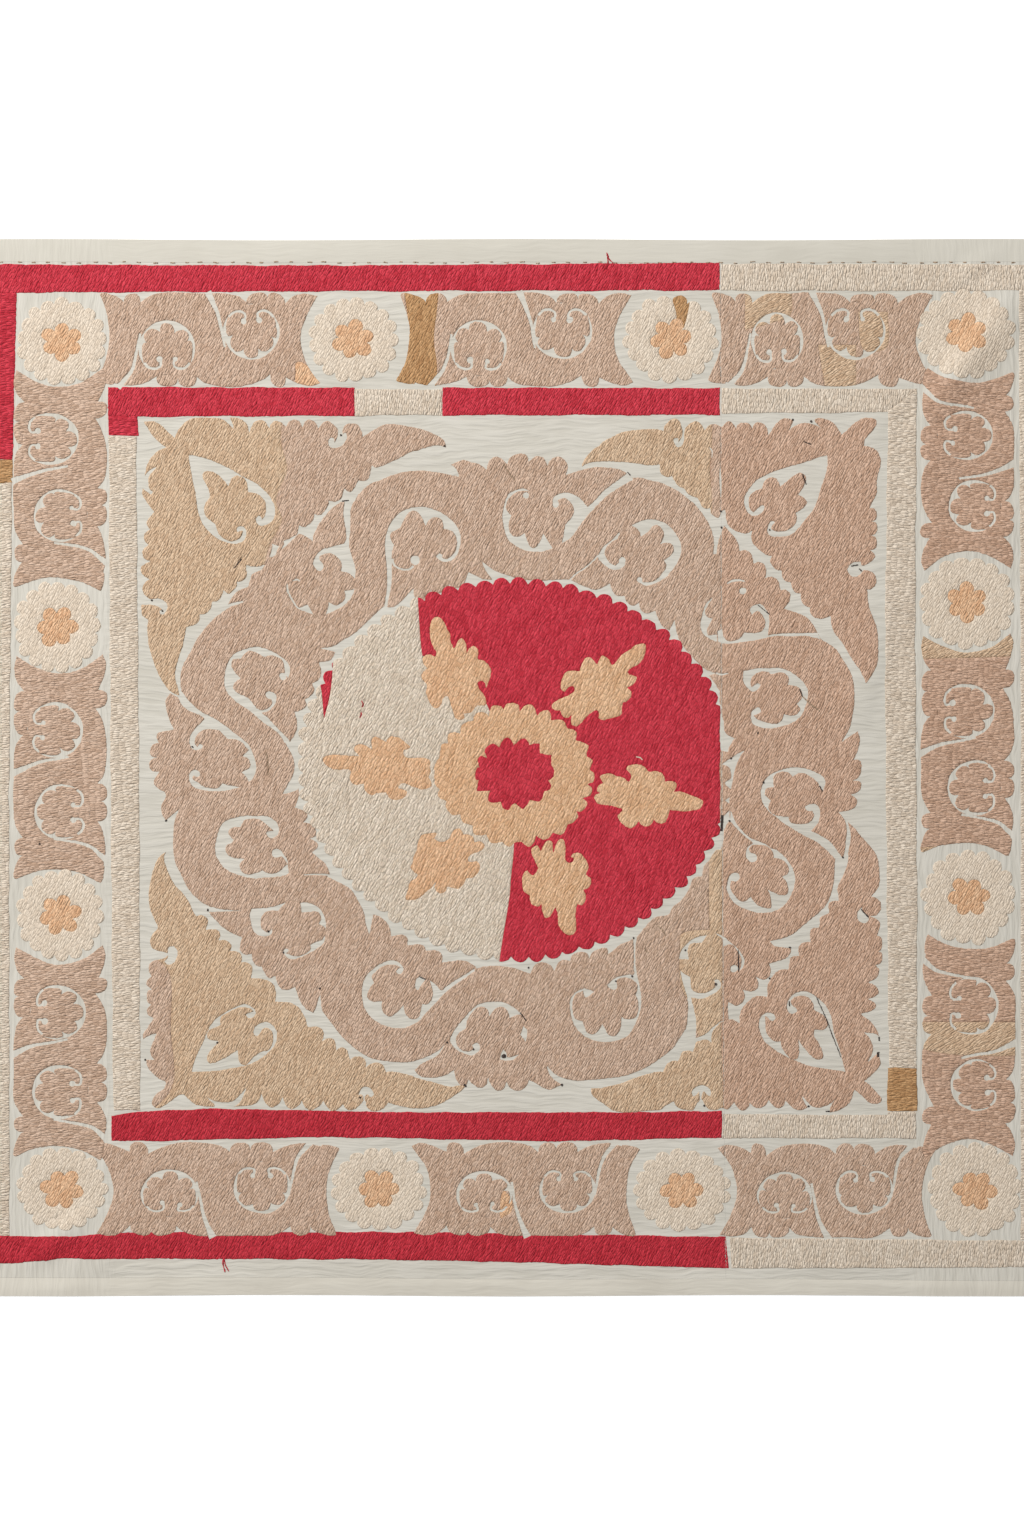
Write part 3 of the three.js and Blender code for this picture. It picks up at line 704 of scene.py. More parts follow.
# Bare cotton within the wreath: the round gap of each palmette, with its curls and its slit
WREATH_GAPS = [
    [
        (384, 607, 1), (386.5, 590), (387, 575), (384.8, 546), (389, 525.5), (401, 511.5), (422.5, 507.4),
        (434, 509.5), (445, 515), (453.5, 523), (458.7, 531.5), (460.6, 540), (459, 549.5), (455, 557),
        (449, 561), (442.5, 561.3), (436.2, 556.4), (439.4, 553.6), (442.5, 554.5), (442.3, 557.6, 1),
        (446.5, 559), (455.5, 550), (456.5, 541), (454.5, 535), (450.5, 531), (443.6, 529, 1),
        (442.3, 520.5), (436.7, 517.3), (431, 519.5), (426, 526.3, 1), (422.6, 518.6), (416.3, 511.8),
        (410, 511.8), (404.8, 518), (400.3, 527.5, 1), (391.2, 532.8), (390.4, 538), (394, 545.2, 1),
        (391.2, 555), (391.8, 576), (387, 607, 1),
    ],
    [
        (344.5, 502, 1), (344.2, 516), (346.3, 537), (345, 543), (331, 546.5), (321.8, 550), (315.5, 557),
        (312.8, 564.5), (318.4, 571.4), (322.5, 569.2), (322.9, 564.5), (319.7, 561, 1), (319.5, 557),
        (331, 552.6), (341, 560.6), (341.8, 566.2), (340.8, 570.4, 1), (347, 571.8), (352.5, 575.2),
        (355.4, 578.8, 1), (356, 570.4), (350, 548), (350.5, 525), (351.2, 511.6), (353, 504),
        (355.5, 499, 1),
    ],
    [
        (287.5, 583, 1), (286.5, 589), (293.5, 602.5), (298, 608.5), (313, 614, 1), (310, 609),
        (308.3, 603.5, 1), (304, 605.5), (299.5, 607.5), (294, 600), (290, 593),
    ],
    [
        (355, 588.5, 1), (352.6, 595), (343, 606.5), (324.5, 614.7, 1), (326.8, 610), (328, 602.5, 1),
        (336, 606), (344.3, 599.8), (345.4, 594.5), (344, 590.4, 1), (349, 590),
    ],
    [
        (627, 473, 1), (616, 480.7), (602, 493), (596, 499.7), (588, 507, 1), (579, 498), (565.5, 493),
        (554, 496.3), (552, 504), (554, 507.7), (557.5, 507.2), (558.4, 503.5), (557, 500.5, 1),
        (561.5, 498.7), (567.3, 500), (574.5, 510), (573.2, 516.2), (565.8, 525, 1), (562, 543, 1),
        (571.5, 536.5), (583, 521.3), (597, 505.7), (612, 492), (626, 482.5), (633, 479.5, 1),
    ],
    [
        (529.6, 490.8, 1), (524.2, 488.4), (513, 491.4), (508, 496), (503.7, 510), (502.6, 518.4),
        (505.7, 533.8), (509.6, 541), (522.6, 549.3), (540.8, 551.6), (553.3, 548.6, 1), (547.2, 540),
        (543.9, 533.9, 1), (538.2, 544.2), (534, 548), (529.8, 546.6), (524.2, 533.1, 1), (519.9, 536.1),
        (515.4, 536.4), (510.8, 533.9), (508.6, 525), (511.1, 515.4, 1), (508, 512.2), (506.5, 507.6),
        (508.5, 500.2), (518, 491.7),
    ],
    [
        (482, 561.5, 1), (495.3, 571), (512.8, 577.2), (519, 580.5, 1), (493, 580.5, 1), (487.7, 573.8),
        (484.1, 568),
    ],
    [
        (597, 556, 1), (604, 545.7), (610.8, 540.8), (620.6, 532, 1), (617.8, 539.2), (611.3, 541.6),
        (604.4, 551.5), (607.9, 561), (615, 564.8), (617.9, 562.3), (618.5, 559.3, 1), (622, 556.5),
        (625, 558.6), (625, 563.6), (622, 567.4), (615.8, 569.5), (608.8, 568.3), (598.9, 560.6),
    ],
    [
        (631.6, 525.7, 1), (643.2, 520.8), (652, 520), (668.4, 525.2), (678.8, 539), (681, 547.7),
        (679.6, 557.6), (667.6, 576), (652, 584.8), (645.2, 585.9), (636.8, 580.2), (638, 577.7),
        (641.6, 577.3), (642.7, 582.3, 1), (648.7, 582.5), (656.2, 580), (665.5, 569.4), (666.4, 565.1),
        (664, 560.3, 1), (669.2, 556.8), (673, 551.6), (672.9, 546.3), (669.4, 543.1), (664.1, 542.7),
        (659.6, 544, 1), (662.8, 538), (663.6, 532), (657, 525.2), (652.8, 527), (648.5, 532),
        (641.4, 536.8, 1), (640.6, 532.8), (638.1, 529.4),
    ],
    [
        (768, 635.5, 1), (769, 619), (767.4, 611.8), (760, 603.9), (750.9, 607.2), (750.3, 611.4),
        (752, 614.6, 1), (754.4, 611.6), (758.4, 610.8), (764.4, 619.3), (764.8, 625.4), (762.4, 629.9),
        (757.8, 632), (743.8, 632.4, 1), (738.8, 638.3), (728.2, 640.8), (724.1, 637.5), (722.3, 629, 1),
        (718, 630.2, 1), (718, 641, 1), (721.3, 642.4), (730, 643.3), (752.4, 640.3), (775, 636.5),
        (791, 636), (806, 635.5), (820, 639.5, 1), (817.5, 633, 1), (796, 632.7), (784, 633.5),
    ],
    [
        (712.8, 597.6, 1), (707.8, 601.2), (704, 606.6), (701, 621), (701, 627), (703.9, 633.8),
        (713.5, 640.3), (717, 641.2, 1), (717, 634, 1), (708.3, 635, 1), (707.4, 630), (710.3, 623.8),
        (713, 618.5, 1), (706.8, 616.1), (704.8, 611.2),
    ],
    [
        (743, 671.5, 1), (761, 668.5), (781, 668.5), (796.5, 676), (807.7, 689.4), (807, 703.5),
        (800, 717.3), (786, 725.5), (769.5, 729), (754.5, 725), (751.3, 721), (751.5, 711), (757, 707),
        (759.8, 708.5), (760.2, 712.2), (753.2, 714.7, 1), (757, 719), (771, 724.2), (777.3, 724.2),
        (781.7, 721), (784.2, 713.8, 1), (791, 715), (797.5, 713.7), (801, 709), (797, 703.3, 1),
        (801, 699.5), (802.3, 694), (801, 690), (797.5, 687), (787.4, 684.6, 1), (789.3, 680.5),
        (787.4, 675.5), (781, 672.3), (771, 674, 1), (767, 671.8), (761, 671.7), (754.5, 675),
        (751.3, 679.3), (750.7, 684.3), (752, 687.5, 1), (754, 685.3), (758.3, 683.5), (760.4, 685),
        (756.4, 690.7), (752, 691.3), (743.7, 682),
    ],
    [
        (834.7, 858.5, 1), (823.3, 848), (814, 841.3), (804.7, 836.7), (790, 826.7), (783.5, 823),
        (776, 817.5), (769.7, 813.5), (762, 802), (761.4, 787), (768.5, 775), (783.5, 769), (801, 767.7),
        (816.5, 773), (823, 777.4), (825.6, 783), (822.6, 791, 1), (816.5, 781), (805, 773.6), (799, 773.2),
        (793, 776.3, 1), (788.7, 772.5), (782.3, 771.2), (773.5, 775), (773.5, 787, 1), (768, 787.3),
        (765.2, 790), (765.2, 795.5), (770.3, 801, 1), (768, 806), (768.5, 811), (773.5, 815.3),
        (788.7, 817.3, 1), (790, 821), (794, 823.7), (807.7, 823.7), (812.7, 820), (814.4, 815),
        (812.5, 810.3, 1), (809, 811), (806, 809), (805.2, 806.5), (813, 803.4), (818, 805.3), (820.5, 810),
        (818, 822.5), (810.7, 831.3, 1), (823.5, 838), (831.5, 843.3), (843.3, 858.5, 1),
    ],
    [
        (730, 820.5, 1), (731, 810.5, 1), (737, 825), (749, 837.2), (765, 843.4), (771.5, 848),
        (778, 850.7), (791.3, 864.7), (795.3, 880), (790.7, 896.7), (784.7, 904.7), (776.7, 910),
        (767.5, 912.8), (756.5, 912.8), (739.3, 906), (732.7, 900.7), (728, 892.7), (727, 887),
        (730.5, 875), (734, 872.4), (738.7, 873.3), (740, 876), (738.7, 880), (735, 881), (731.5, 880, 1),
        (730.7, 888), (741.3, 901.2), (746, 901), (750.7, 897.3, 1), (754, 902), (759.3, 906.7),
        (770.5, 908), (770, 896.7), (767.3, 890, 1), (780.7, 895.3), (787, 894.5), (788.4, 890),
        (786.7, 883.3), (782, 876.7, 1), (787.5, 874), (789.3, 870), (788, 864.7), (783.3, 860),
        (774, 857.3, 1), (773.3, 852.7), (770, 848), (764.7, 845), (752, 845), (748.7, 849), (750.5, 853),
        (754.5, 853.3), (756.8, 857), (755, 861.3), (750.7, 862), (746, 858.5), (745, 852.5),
        (747.3, 847.5), (752.7, 842.8, 1), (742, 834.5), (735.3, 827.3),
    ],
    [
        (687.3, 997, 1), (683, 985), (681, 977.7), (680, 970.4, 1), (684, 974), (689.8, 977, 1),
        (690.5, 987.3), (693, 991), (705, 993.4), (715, 987.5), (716, 984), (714, 980.7, 1), (717, 979),
        (720, 980.7), (721.3, 985), (720, 989.5), (708, 997), (701, 998.6), (691, 997, 1),
    ],
    [
        (678.5, 958.7, 1), (680.3, 951.3), (690.5, 940.3), (698, 936.7), (707.4, 935, 1), (701.5, 942.5, 1),
        (690.5, 943.6), (687.6, 951.3), (689, 959.4, 1),
    ],
    [
        (715.5, 933.4, 1), (721.3, 935.5), (736, 947.5), (741.5, 954), (744, 961), (742.5, 967),
        (738.5, 971, 1), (740.6, 963), (740.3, 957), (731.5, 944.7), (722.7, 946.3, 1), (722.3, 939.5),
        (719, 936),
    ],
    [
        (584, 988.7, 1), (588, 989), (594.5, 992.4, 1), (586.4, 997.2), (584.6, 994.6), (583.8, 991, 1),
        (579, 992.4), (574.7, 996), (572.5, 1008), (573.2, 1014.4), (576, 1018.8), (582.7, 1020.6, 1),
        (588, 1032.7), (593, 1034.2), (597.5, 1031.3), (602.5, 1024, 1), (609, 1035.2), (614.3, 1035.7),
        (618.7, 1032), (620.9, 1024.7), (621.3, 1016.6, 1), (624.5, 1018.8), (634.8, 1018), (637.7, 1013.7),
        (638, 1003), (635, 995.5, 1), (637, 991), (637, 983.6), (630.4, 978.5), (624.5, 977.2),
        (618.7, 978.5), (616, 982), (617, 986), (615.7, 989.8), (610, 988.7), (607.2, 985, 1),
        (615.7, 977.4), (629, 974.5), (634, 974), (633.8, 966), (634.3, 947), (633.6, 938, 1),
        (637.2, 937, 1), (635.6, 956), (636, 966), (639.2, 982), (641, 1000), (640.4, 1011.5),
        (632.6, 1029), (626, 1036.4), (605.5, 1042), (585, 1036.4), (572.5, 1020.3), (570.3, 1001.2),
        (574, 994), (579, 990.2),
    ],
    [
        (449.7, 1040.5, 1), (451.5, 1035), (462, 1020), (474, 1006.7), (482.7, 1002.8), (500.3, 1001.3),
        (507.6, 1003.4), (521, 1013), (526.7, 1022, 1), (521.5, 1014.9), (516.4, 1015), (510.2, 1017.4, 1),
        (509, 1012), (505.4, 1007.8), (500.3, 1006), (494.4, 1009), (489.3, 1016.3, 1), (487.8, 1010.4),
        (482.7, 1006.7), (476.8, 1007.2), (467, 1019), (465.8, 1028, 1), (460, 1031.7), (456.3, 1036),
        (455.5, 1041), (457.7, 1047), (463.6, 1051.2), (470, 1051.3), (473.5, 1048.5), (472, 1045, 1),
        (476, 1042.7), (479.7, 1045), (480, 1049.3), (476.8, 1053.7), (471.7, 1056), (457.7, 1050.5),
        (452, 1045),
    ],
    [(523, 1025.8, 1), (526.4, 1029.5), (526.7, 1035.3), (525.2, 1041.2, 1), (520, 1034, 1)],
    [
        (503.2, 1050, 1), (500.6, 1059.5), (511.3, 1060.6), (519.3, 1054.2, 1), (507.6, 1057.8),
        (506, 1052.5),
    ],
    [
        (474.5, 971.5, 1), (455, 984.5), (443, 996), (438.7, 1001), (425.5, 1013.5), (419.6, 1020),
        (411, 1025.3), (402, 1027.8), (391, 1027), (380, 1023.2), (371, 1016.8), (365, 1009), (362.4, 999),
        (365.6, 977), (372, 969), (381.6, 963.2), (391, 960.8), (397, 962), (404, 969), (402.7, 973),
        (399, 974.5), (396, 972.3), (400.5, 968, 1), (397, 965.9), (384, 966), (374, 972.5), (371.7, 977),
        (374.4, 983.2, 1), (371, 987.2), (367.5, 997.6), (372, 1001.6), (382, 1001, 1), (381.6, 1007),
        (385, 1013.6), (389.6, 1016), (395.5, 1013), (403.4, 1004.5, 1), (405, 1012.5), (408.6, 1017.7),
        (414.5, 1019), (419, 1016.3), (422.5, 1003.8, 1), (427.7, 1004), (432, 1000), (433.5, 994.3),
        (430, 980.5, 1), (436.5, 985.5), (441.6, 990.8), (446, 987), (453.3, 981), (470.9, 971),
        (475, 968.5, 1),
    ],
    [(420.3, 977), (426, 979, 1), (420.3, 987), (418.4, 990), (415.2, 989), (416.7, 979.6)],
    [
        (286.4, 903.2, 1), (276, 906), (263, 908), (251.2, 909.3, 1), (249.5, 916), (252.8, 930.4),
        (257.6, 935.2), (264.8, 937), (270.4, 935.5), (272.8, 932), (272, 928.8, 1), (269, 932.6),
        (261.6, 928.8), (260.8, 918.4), (264.8, 912.8), (271, 910.4), (278.4, 911, 1),
    ],
    [
        (300.8, 903.2, 1), (306.4, 902.4), (319.2, 908.8), (326, 923), (325.6, 929, 1), (322.5, 925.6),
        (318.4, 924, 1), (320.8, 919), (319.2, 913.6), (314.4, 911), (308, 912), (301.6, 912.5, 1),
    ],
    [
        (324.8, 934.5, 1), (324.8, 939.2), (321, 945), (308, 953.8), (297, 958.4), (290.4, 959),
        (283.2, 952), (284, 948.8), (287.2, 947.7), (288.5, 949.6), (285.5, 952.5, 1), (293.6, 955.8),
        (300.8, 955.8), (310, 950), (310, 944.8, 1), (314.4, 942), (321, 939.5),
    ],
    [(208, 912, 1), (222, 911.8), (241, 910.8, 1), (231, 910.2), (218.5, 908.8), (208, 906.3, 1)],
    [
        (289, 872.5, 1), (284, 875.5), (263, 877.3), (252, 878), (232.4, 872.5), (224, 867.4),
        (218.4, 860.4), (215.3, 852), (218.4, 831), (224, 822.6), (243.6, 815.6), (254.8, 816),
        (263.2, 815.6), (270.2, 817), (276, 821.2), (279.3, 826.8), (279.5, 831.5), (277.5, 835.5),
        (272.3, 838.7), (268, 836.6), (266.7, 833), (274.4, 830.7, 1), (264.6, 822.6), (257.6, 819),
        (244.3, 819.8), (240, 827.2, 1), (235, 827.5), (229.6, 829.6), (228.2, 833.8), (233.5, 840, 1),
        (231, 843.6), (226.8, 845), (225.4, 849.3), (226.8, 854), (232.4, 857.6), (244.3, 859, 1),
        (240, 863.2), (240, 868.8), (243.6, 873), (250.6, 874), (263.2, 870.2, 1), (269, 873), (276, 873),
        (281.5, 870), (287, 864, 1), (285.8, 860.4), (281.5, 855.8, 1), (278.6, 857.3), (274.4, 857.6),
        (272.3, 855), (273, 850.6), (277.2, 849), (280.7, 850.3), (284, 854.6), (287.4, 859), (288, 865),
    ],
    [
        (181.5, 692, 1), (177.5, 697, 1), (183.3, 706.7), (199, 714.5), (205, 718.7, 1), (194, 731),
        (190.5, 738.7), (190.5, 745.3), (193.3, 749.8), (198.7, 750.4), (202.4, 748), (203, 745.4),
        (200.2, 744.3), (197.5, 747.5, 1), (195.4, 743.6), (196, 738.6), (203, 730.5), (218.6, 731),
        (227.3, 739.8, 1), (234, 739.8), (241, 742), (249, 750, 1), (242.6, 756.5, 1), (248, 758.7),
        (250.5, 763), (250, 767.3), (240.8, 773, 1), (245, 776.4), (247.8, 782, 1), (252, 779),
        (255.5, 772), (256.5, 764), (252, 751), (247.6, 743.6), (232.3, 731.6), (213.5, 718.2), (204, 713),
        (187.4, 698.8),
    ],
    [
        (189.3, 775), (190.4, 782), (194.6, 787), (208.6, 791.2), (218.4, 791.2), (240.8, 786.8, 1),
        (231, 785.3), (222.6, 782.5, 1), (217.7, 788), (204.4, 786.7), (199, 782.5), (194, 779.5),
        (192.8, 777), (194.6, 775.2), (197.4, 776.8), (200.2, 775.7), (200.5, 772.2), (197.4, 770),
        (193.2, 770.3),
    ],
    [
        (290, 741.6, 1), (277, 726.8), (270, 719), (262, 712.5), (266, 712), (271.4, 708.3), (275.9, 701.6),
        (276.5, 696.7), (274.4, 693.2), (269, 691.5), (265.4, 693.8), (266.6, 698), (271, 699.4, 1),
        (272.2, 703), (264, 710), (256, 708.3), (251, 702), (247, 698), (237, 692.4), (233.3, 687.3),
        (234.7, 683), (240.3, 679, 1), (232.4, 670), (231, 665), (233, 660), (240.5, 659, 1),
        (248.3, 650.6), (255.3, 651), (264.6, 657, 1), (270, 655.2), (281.6, 660), (284.3, 665.5),
        (285.5, 675, 1), (289, 678, 1), (290.5, 671), (288.6, 664.5), (276.7, 654), (257.8, 646.3),
        (240, 651), (231.8, 656.5), (225, 672), (226, 688.5), (237.2, 702), (245.8, 708.2), (262, 721),
        (278, 732.7), (284.5, 743, 1),
    ],
    [
        (743.7, 751.5, 1), (730.4, 758.4), (723.4, 764.8, 1), (729.8, 768), (731.2, 778), (726, 782),
        (725.3, 784.5), (731, 789, 1), (736, 766.7), (740.5, 756.5),
    ],
    [(730.2, 797, 1), (725.3, 800.2, 1), (730, 803.5, 1)],
]
WREATH_SLITS = [  # x, y and width along each
    [(391.5, 559, 2.5), (394.5, 566, 2), (401, 569.7, 1.8), (409, 569.8, 1.8), (414, 566, 2.5)],
    [(569.5, 580.5, 1.5), (577.5, 573, 1.5), (585.5, 568, 1.5), (592, 562, 1.5), (598, 555.5, 1.5)],
    [(727.5, 583.5, 1.2), (732.5, 580.7, 2.4), (739, 579.8, 2.4), (745, 581.2, 1)],
    [(716, 673.8, 2), (722, 674.6, 2), (728.5, 673.4, 1)],
    [(303.5, 874.8, 0.8), (314, 874.6, 1.5), (329, 874.6, 2)],
    [(229, 605, 3), (236.5, 603.5, 3), (243, 602, 1)],
    [(293, 581.5, 1.2), (297, 580, 2.4), (300, 581.5, 1)],
]
WREATH_DOTS = [(415.6, 560, 5), (526.3, 495.5, 3.2), (743, 591, 3.5), (733.8, 968, 3.8), (283.5, 677, 3.6)]

stitch("wreath", drawn(WREATH_OUTSIDE))
for outline in [WREATH_INSIDE, *WREATH_GAPS]:
    leave_bare(drawn(outline))
for line in WREATH_SLITS:
    leave_bare(channel(line))
for x, y, radius in WREATH_DOTS:
    leave_bare(disc(x, y, radius, count=12))


# ---------------------------------------------------------------------------------------------------------
# The medallion
# ---------------------------------------------------------------------------------------------------------

MEDALLION = (515, 772, 215.5, 188)  # x, y, half width, half height inside its lobes
MEDALLION_LOBES = 77
MEDALLION_LOBE_HIGH = 6.5
MEDALLION_SEAM = 720.3
# Where the medallion's edge is drawn in: how much, towards which direction in degrees, and how far round
DRAWN_IN = [(0.06, 140, 35), (0.037, 48, 38)]

# The ring and its heart, clockwise from the top
RING = [
    (490, 711, 1), (492, 706), (501, 706), (504, 709, 1), (507, 703), (518, 704), (520, 711, 1), (525, 706),
    (531, 705), (535, 709), (537, 716, 1), (540, 712), (547, 710), (550, 712), (551, 720, 1), (557, 719),
    (563, 720), (568, 729, 1), (573, 730), (577, 733), (576, 741, 1), (583, 743), (588, 746), (587, 751, 1),
    (586, 756), (592, 760), (590, 770, 1), (594, 773), (594, 781), (588, 784, 1), (592, 788), (591, 795),
    (583, 798, 1), (588, 803), (582, 812), (577, 812, 1), (579, 817), (572, 824), (568, 825, 1), (565, 832),
    (561, 835), (553, 833, 1), (548, 839), (542, 840), (536, 836, 1), (533, 844), (528, 847), (521, 842, 1),
    (514, 843), (509, 847), (502, 842, 1), (496, 843), (491, 842), (487, 834, 1), (482, 835), (474, 834),
    (472, 826, 1), (466, 824), (462, 822), (460, 814, 1), (453, 815), (446, 806), (447, 801, 1), (440, 798),
    (438, 794), (440, 790, 1), (436, 785), (435, 780), (435, 771, 1), (435, 765), (439, 759, 1), (440, 751),
    (442, 744), (448, 743, 1), (448, 734), (454, 732), (460, 734, 1), (461, 726), (466, 722), (473, 720, 1),
    (474, 715), (478, 712), (485, 713), (489, 717, 1),
]
HEART = [
    (507, 738), (511, 741), (513, 746, 1), (523, 738), (528, 742), (529, 746, 1), (533, 744), (540, 744, 1),
    (540, 753, 1), (547, 755), (552, 755, 1), (551, 765, 1), (554, 771), (553, 777), (548, 781, 1),
    (551, 785), (550, 789), (544, 791, 1), (542, 798), (539, 801), (530, 800, 1), (526, 806), (523, 809),
    (519, 806, 1), (515, 803, 1), (511, 806), (509, 810), (504, 809), (501, 802, 1), (491, 803), (488, 800),
    (490, 791, 1), (476, 791, 1), (478, 780, 1), (475, 774), (480, 767, 1), (478, 760), (481, 756),
    (488, 758, 1), (485, 751), (488, 746), (494, 744), (499, 748, 1), (502, 742),
]

# The six palmettes round the ring, each clockwise from its middle finger
SPRAYS_RIGHT = [
    [
        (642, 643), (646, 644), (644, 657), (639, 664), (632, 668), (627, 672, 1), (629, 675, 1),
        (637, 678), (633, 685), (627, 688, 1), (631, 692), (631, 696), (628, 700), (622, 703, 1),
        (621, 708), (621, 714), (608, 719), (602, 720), (598, 718, 1), (599, 714), (597, 710), (591, 713),
        (584, 720), (580, 725), (576, 727), (572, 725), (571, 722), (572, 715, 1), (568, 718), (564, 717),
        (560, 710, 1), (556, 710), (552, 708), (552, 704), (562, 698), (569, 695), (574, 691), (575, 688),
        (573, 686), (569, 687), (564, 692, 1), (561, 690), (560, 685), (566, 673), (571, 671),
        (580, 671, 1), (585, 659), (590, 658), (597, 665, 1), (602, 656), (609, 660), (611, 665, 1),
        (613, 665, 1), (623, 654), (630, 650), (636, 645),
    ],
    [
        (702, 800), (702, 805), (699, 809), (684, 812), (670, 810, 1), (666, 822), (662, 824), (657, 823),
        (654, 820, 1), (652, 825), (647, 827), (642, 825), (639, 821, 1), (636, 825), (630, 828),
        (619, 821), (617, 816), (620, 812, 1), (622, 809), (619, 808, 1), (613, 806), (598, 804),
        (596, 801), (594, 797), (600, 793, 1), (597, 791), (599, 785), (603, 783, 1), (600, 776),
        (609, 773), (616, 776), (623, 778), (628, 782), (631, 778), (630, 774), (626, 770, 1), (628, 767),
        (634, 765), (643, 766), (649, 772, 1), (656, 771), (662, 773), (665, 778), (665, 781, 1),
        (672, 781), (676, 783), (677, 786), (674, 792, 1), (681, 792), (689, 795),
    ],
    [
        (570, 935), (564, 932), (559, 925), (557, 914), (555, 907, 1), (549, 917), (545, 918), (542, 912),
        (541, 903, 1), (539, 906), (535, 906), (531, 903), (530, 895, 1), (526, 893), (523, 889),
        (523, 874), (527, 870), (529, 873), (532, 875), (535, 873), (538, 868, 1), (531, 852), (531, 849),
        (537, 846), (541, 852, 1), (544, 845), (548, 841), (552, 842), (554, 853, 1), (559, 840),
        (563, 839), (566, 846), (566, 859), (569, 862), (573, 861), (574, 858), (571, 856, 1), (574, 853),
        (580, 853), (588, 866), (586, 875, 1), (591, 879), (591, 886), (588, 889), (584, 890, 1),
        (586, 895), (585, 902), (582, 905), (577, 904, 1), (576, 912), (576, 932),
    ],
]
SPRAYS_LEFT = [
    [
        (432, 620), (436, 617), (440, 618), (445, 624), (447, 629), (450, 634), (450, 640), (453, 648, 1),
        (455, 646), (458, 640), (461, 638), (464, 640), (466, 645), (467, 654, 1), (469, 649), (474, 646),
        (478, 649), (479, 655), (478, 660, 1), (484, 661), (488, 664), (491, 670), (490, 678),
        (486, 688, 1), (485, 683), (482, 681), (478, 682), (477, 684), (480, 690), (485, 696), (486, 702),
        (484, 706, 1), (477, 705), (470, 712), (463, 713, 1), (464, 717), (460, 720), (455, 718),
        (452, 707, 1), (448, 697), (444, 698), (442, 704), (438, 708), (433, 706), (426, 692), (427, 685),
        (422, 678), (424, 672), (428, 669, 1), (424, 664), (423, 658), (426, 655), (432, 655),
        (435, 657, 1), (436, 652), (433, 647), (430, 633),
    ],
    [
        (323, 758), (333, 755), (348, 756), (359, 757, 1), (358, 755), (354, 750), (355, 746), (359, 744),
        (364, 745), (372, 750, 1), (371, 740), (374, 737), (386, 743, 1), (387, 740), (391, 737),
        (401, 739), (406, 743), (411, 747), (409, 749), (404, 750, 1), (404, 754), (407, 757), (422, 758),
        (427, 759), (430, 762), (430, 767), (431, 773), (429, 777, 1), (432, 782), (432, 786), (422, 789),
        (416, 787), (411, 786), (404, 783), (399, 785), (398, 788, 1), (407, 792), (402, 799), (391, 799),
        (386, 792, 1), (377, 793), (373, 795), (366, 791), (364, 784, 1), (356, 785), (352, 783),
        (350, 778), (352, 773, 1), (350, 770), (342, 770), (333, 769), (324, 763),
    ],
    [
        (406, 900), (408, 889), (410, 882), (416, 878), (418, 874, 1), (414, 871), (411, 867),
        (414, 861, 1), (414, 857), (417, 850), (418, 843), (422, 836), (429, 834), (436, 833),
        (434, 839, 1), (439, 842), (446, 841), (454, 830), (459, 829), (462, 832, 1), (463, 835),
        (468, 835), (473, 837), (475, 842, 1), (480, 841), (485, 844), (483, 849), (472, 854), (468, 858),
        (468, 861), (472, 862), (477, 861), (480, 865), (479, 871), (474, 877), (466, 878, 1), (463, 884),
        (458, 888), (448, 886, 1), (445, 892), (440, 893), (436, 889), (436, 882, 1), (432, 887),
        (426, 892), (418, 899),
    ],
]


def medallion_edge():
    """An oval of even lobes, drawn in a little on one side and cut straight along the seam."""
    x, y, across, down = MEDALLION
    edge = wheel(0, 0, 1, 1 + MEDALLION_LOBE_HIGH / across, MEDALLION_LOBES, 0.04, 0.7, 1.0, 3)
    turn = np.degrees(np.arctan2(edge[:, 1], edge[:, 0]))
    for much, towards, round_by in DRAWN_IN:
        edge *= (1 - much * np.exp(-(((turn - towards + 180) % 360 - 180) / round_by) ** 2))[:, None]
    edge = edge * (across, down) + (x, y)
    edge[:, 0] = np.minimum(edge[:, 0], MEDALLION_SEAM)
    return edge


stitch("medallion_red", medallion_edge())
CREAM_EDGE = [
    (418, 560, 1), (418, 597), (419.5, 625), (421, 645), (422.5, 656, 1), (435, 657, 1), (470, 690),
    (486, 703.5), (490, 711.7, 1), (500, 730), (506, 760), (512, 800), (514, 843), (513, 860), (511, 878),
    (510, 893), (507.7, 909), (505, 925), (503, 937), (501, 950), (495, 1000, 1), (250, 1000, 1),
    (250, 780), (250, 560, 1), (330, 560),
]
change_thread({"medallion_red": "medallion_cream"}, drawn(CREAM_EDGE))
change_thread({"medallion_cream": "medallion_red"},
              drawn([(333, 660, 1), (327, 668), (320, 676), (322, 694), (324, 719, 1), (329, 700),
                     (332, 680)]))
stitch("ring", drawn(RING))
stitch("ring_heart", drawn(HEART))
for piece, outlines in (("sprays_left", SPRAYS_LEFT), ("sprays_right", SPRAYS_RIGHT)):
    for outline in outlines:
        stitch(piece, drawn(outline))

# ---------------------------------------------------------------------------------------------------------
# Places where the thread changes
# ---------------------------------------------------------------------------------------------------------

